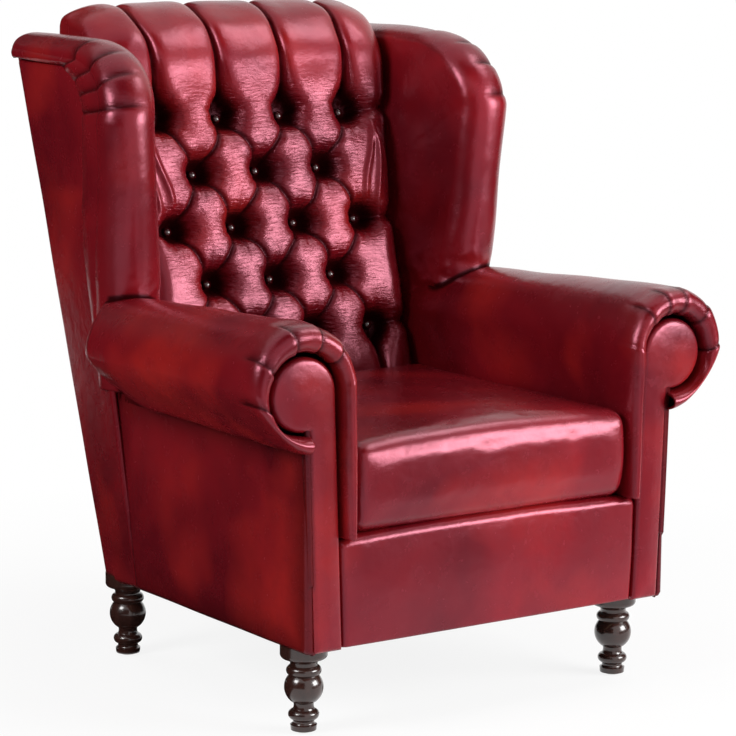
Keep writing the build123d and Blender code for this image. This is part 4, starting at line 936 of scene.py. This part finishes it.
# Outside panels: leather over card, tacked along their edges. They hang nearly flat and
# are pinned under the wing's and the arm's seams.
def rounded_over(from_edge, lip):
    """How far a surface drops near an edge that is rounded over within a lip."""
    return lip * (1 - np.sqrt(1 - (1 - np.clip(from_edge / lip, 0, 1)) ** 2))


def bowed_panel(name, corners, covers, thickness, bow, rows, columns, tuck=0):
    """A panel between four corners that swells a little and rolls over at its edges."""
    low_left, low_right, high_right, high_left = np.array(corners, float)
    u = np.linspace(0, 1, columns)[None, :, None]
    v = np.linspace(0, 1, rows)[:, None, None]
    flat_panel = (
        low_left * (1 - u) * (1 - v) + low_right * u * (1 - v)
        + high_right * u * v + high_left * (1 - u) * v
    )
    flat_panel[..., 1:2] -= tuck * (1 - u) * ease(flat_panel[..., 2:], 0.55, 0.85)
    out = np.cross(low_right - low_left, high_left - low_left)
    out = out / np.linalg.norm(out)
    if out @ (flat_panel.mean((0, 1)) - np.array((0, 0, 0.6))) < 0:
        out = -out
    wide = np.linalg.norm(low_right - low_left)
    tall = np.linalg.norm(high_left - low_left)
    from_edge = np.minimum(np.minimum(u, 1 - u) * wide, np.minimum(v, 1 - v) * tall)[..., 0]
    swell = bow * (np.sin(pi * u) * np.sin(pi * v))[..., 0] ** 0.5
    shift = swell - rounded_over(from_edge, 0.006) + 0.0007 * rumple(flat_panel, 0.2, 51)
    leather_piece(name, flat_panel + out * shift[..., None], covers, 0.3, thickness=thickness)


for side, sign in sides:
    bowed_panel(
        f"outside_wing_cover_{side}",
        [(sign * body_x, 0.085, panel_low_z), (sign * 0.330, 0.2295, 0.126),
         (sign * 0.386, 0.425, 1.005), (sign * 0.380, 0.245, 1.005)],
        [f"outside_wing_{side}"], 0.008, 0.002, 140, 60, tuck=0.045,
    )
bowed_panel(
    "outside_back_cover",
    [(-0.330, 0.2325, 0.126), (0.330, 0.2325, 0.126), (0.385, 0.432, 1.0225), (-0.385, 0.432, 1.0225)],
    ["outside_back"], 0.006, 0, 120, 100,
)

# Outside arms: each panel wraps from the facing round the front corner to the wing's seam.
# The plan is the panel's section, from the facing to the rear; each row fits it to a height.
wrap_front_y, wrap_flat_y, wrap_corner = -0.424, -0.40, 0.010
wrap_turns = np.linspace(0, pi / 2, 12)
wrap_x = np.concatenate([
    (0.336, neck_outer_x), body_x - wrap_corner + wrap_corner * np.sin(wrap_turns), np.full(80, body_x),
])
wrap_y = np.concatenate([
    (-0.4235, wrap_front_y), wrap_front_y + wrap_corner - wrap_corner * np.cos(wrap_turns),
    np.linspace(wrap_flat_y, 0.10, 80),
])
heights = np.linspace(panel_low_z, 0.56, 82)[:, None]
wrap_end_y = 0.085 + (0.144 - 0.085) * (heights - panel_low_z) / (arm_seam_z - panel_low_z)
drawn_y = wrap_flat_y + (wrap_y - wrap_flat_y) * (wrap_end_y - wrap_flat_y) / 0.50
arm_wrap = spread_out(wrap_x, np.where(wrap_y > wrap_flat_y, drawn_y, wrap_y), heights)
facing_x = neck_outer_x + 0.014 * (heights - panel_low_z) / neck_height + 0.0015
arm_wrap[:, :2, 0] = facing_x - (0.001, 0)
arm_wrap[:, 0, 1] += 0.008
up_wrap = arm_wrap[..., 2] - panel_low_z
spread = np.clip((arm_wrap[..., 1] - wrap_flat_y) / 0.5, 0, 1)
wrap_swell = 0.002 * (np.sin(pi * spread) * np.sin(pi * np.clip(up_wrap / 0.357, 0, 1))) ** 0.5
# The panel is darker towards its edges, and gets painted shade up under the arm's roll, above its seam.
from_edge = np.minimum(
    np.minimum(up_wrap, 0.462 - arm_wrap[..., 2]) + 0.012,
    np.minimum(arm_wrap[..., 1] + 0.43, wrap_end_y[-1] - arm_wrap[..., 1]),
)
for side, sign in sides:
    grid = arm_wrap.copy()
    grid[..., 0] += wrap_swell + 0.0008 * rumple(arm_wrap, 0.18, 61 + sign)
    grid[..., 0] -= rounded_over(up_wrap, 0.004)
    leather_piece(
        f"outside_arm_cover_{side}", grid * (sign, 1, 1), [f"outside_arm_{side}"], 0.3,
        thickness=0.006, crease=0.5 * (1 - ease(from_edge, -0.01, 0.075)),
    )

# Front border: a padded strip across the seat front, rolled over along its top edge.
# Its middle swells, and its ends are drawn in beside the facings.
border_y, border_high, border_roll = -0.4245, 0.318, 0.014
roll_over = np.linspace(0, pi / 2, 12)[1:]
border_profile_y = np.concatenate([
    (-0.412, -0.424, border_y), np.full(60, border_y),
    border_y + border_roll - border_roll * np.cos(roll_over), np.linspace(-0.405, -0.392, 5),
])
border_profile_z = np.concatenate([
    panel_low_z + np.array((0.0005, 0.003, 0.006)),
    np.linspace(panel_low_z + 0.01, border_high - border_roll, 60),
    border_high - border_roll + border_roll * np.sin(roll_over), np.full(5, border_high),
])[:, None]
border_u = np.linspace(-1, 1, 150)
border_end_x = neck_inner_x + (border_profile_z - panel_low_z) / neck_height * 0.015 - 0.0006
grid = spread_out(border_u * border_end_x, border_profile_y[:, None], border_profile_z)
tall = np.clip((grid[..., 2] - panel_low_z) / (border_high - panel_low_z), 0, 1)
end_drop = 0.010 * (1 - np.sqrt(1 - np.clip((np.abs(border_u) - 0.965) / 0.035, 0, 1) ** 2))
swell = 0.006 * np.sin(pi * tall) ** 0.6 * (1 - np.abs(border_u) ** 8)
grid[..., 1] += end_drop - swell + 0.0012 * rumple(grid, 0.13, 71) * np.sin(pi * tall) ** 0.5
grid[..., 2] += 0.007 * (1 - border_u**2) * ease(tall, 0.6, 1.0)
grid[..., 2] -= 0.004 * ease(np.abs(border_u), 0.9, 1) * ease(tall, 0.8, 1.0)
grid[..., 1] = np.maximum(grid[..., 1], -0.436)
leather_piece("front_border_cover", grid, ["front_border"], 0.6, thickness=0.006)

# Seat cushion: a loose cushion of foam in a leather cover, crowned on top, with its edges
# rounded and its sides pulled in where they meet the arms.
cushion_low, cushion_edge, cushion_front = 0.3192, 0.4635, -0.4225
half_high = (cushion_edge - cushion_low) / 2
cushion_half = np.array((0.2675, 0.282, half_high))
cushion_corner = np.array((0.016, 0.024, 0.024))
flat_share = 0.80


def vertex_places(mesh):
    """A mesh's vertices as an array of points."""
    places = np.zeros(len(mesh.vertices) * 3)
    mesh.vertices.foreach_get("co", places)
    return places.reshape(-1, 3)


form = bmesh.new()
bmesh.ops.create_cube(form, size=2)
bmesh.ops.subdivide_edges(form, edges=form.edges, cuts=59, use_grid_fill=True)
cushion_mesh = bpy.data.meshes.new("seat_cushion")
form.to_mesh(cushion_mesh)
form.free()
spots = vertex_places(cushion_mesh)

# The box's points are spaced so that the corners get a good share, and then rounded.
unit, flat_half = np.abs(spots), cushion_half - cushion_corner
bent = flat_half + (unit - flat_share) / (1 - flat_share) * cushion_corner
box = np.sign(spots) * np.where(unit < flat_share, unit / flat_share * flat_half, bent)
core = np.clip(box, -flat_half, flat_half)
past = (box - core) / cushion_corner
length = np.linalg.norm(past, axis=1, keepdims=True)
past = np.where(length > 1e-6, past / np.maximum(length, 1e-9), 0)
shape = core + past * cushion_corner
unit_x, unit_y, unit_z = (shape / cushion_half).T
on_top, on_front = unit_z > 0, unit_y < 0
crown = (1 - np.abs(unit_x) ** 2.4) * (1 - np.abs(unit_y) ** 2.4)
front_arch = 0.009 * (1 - np.abs(unit_x) ** 2.2) - 0.006 * np.clip(-unit_x, 0, 1) ** 3
swell = unit_z * crown * 0.008 + unit_z * front_arch * (1 - 0.5 * np.abs(unit_y + 1))
shape[:, 2] += np.where(on_top, swell, 0)
waist = 1 - unit_z**2
shape[:, 0] *= 1 - 0.016 * (1 - waist) * (1 - 0.4 * on_top)
forward = 0.003 * waist * (1 - 0.4 * unit_x**4) + 0.011 - 0.007 * np.clip(-unit_z, 0, 1) ** 2
shape[:, 1] -= np.where(on_front, forward, 0)
shape[:, 1:] += (cushion_half[1] + cushion_front, half_high + cushion_low)
rear_limit = roll_start_y - (roll_start_z - shape[:, 2]) * tan(lean) - 0.002
lean_back = np.clip(unit_y, 0, 1) * ((shape[:, 2] - cushion_low) * tan(lean) - 0.034)
shape[:, 1] = np.minimum(shape[:, 1] + lean_back, rear_limit)
slack = 0.0009 * rumple(shape, 0.22, 81)
shape[:, 2] += np.where(unit_z > 0.5, slack, 0)
shape[:, 1] += np.where(unit_y < -0.5, slack, 0)
cushion_mesh.vertices.foreach_set("co", shape.reshape(-1))


def puffed_up(piece, voxel, pressure, most):
    """Blows a closed cover up in a short cloth simulation, moving no point beyond a limit."""
    even_out = piece.modifiers.new("even_out", "REMESH")
    even_out.mode, even_out.voxel_size = "VOXEL", voxel
    remeshed = piece.evaluated_get(bpy.context.evaluated_depsgraph_get())
    piece.data = bpy.data.meshes.new_from_object(remeshed)
    piece.modifiers.clear()
    places = vertex_places(piece.data)
    cloth = piece.modifiers.new("leather_cloth", "CLOTH")
    cloth.settings.use_pressure = True
    cloth.settings.uniform_pressure_force = pressure
    cloth.settings.tension_stiffness = cloth.settings.compression_stiffness = 60
    cloth.settings.bending_stiffness = 40
    cloth.settings.effector_weights.gravity = 0
    for moment in range(1, 21):
        scene.frame_set(moment)
    blown = piece.evaluated_get(bpy.context.evaluated_depsgraph_get())
    move = vertex_places(blown.data) - places
    length = np.maximum(np.linalg.norm(move, axis=1, keepdims=True), 1e-9)
    places += move * np.minimum(1, most / length)
    piece.modifiers.clear()
    scene.frame_set(1)
    piece.data.vertices.foreach_set("co", places.reshape(-1))
    piece.data.shade_smooth()
    settle = piece.modifiers.new("settle", "SMOOTH")
    settle.factor, settle.iterations = 0.5, 6
    finer = piece.modifiers.new("finer", "SUBSURF")
    finer.levels = finer.render_levels = 1


cushion = new_piece("seat_cushion_leather", cushion_mesh)
puffed_up(cushion, voxel=0.005, pressure=4, most=0.0018)
lay_over(cushion, leather, "seat_cushion", ["seat_cushion_cover", "seat_cushion_core"])
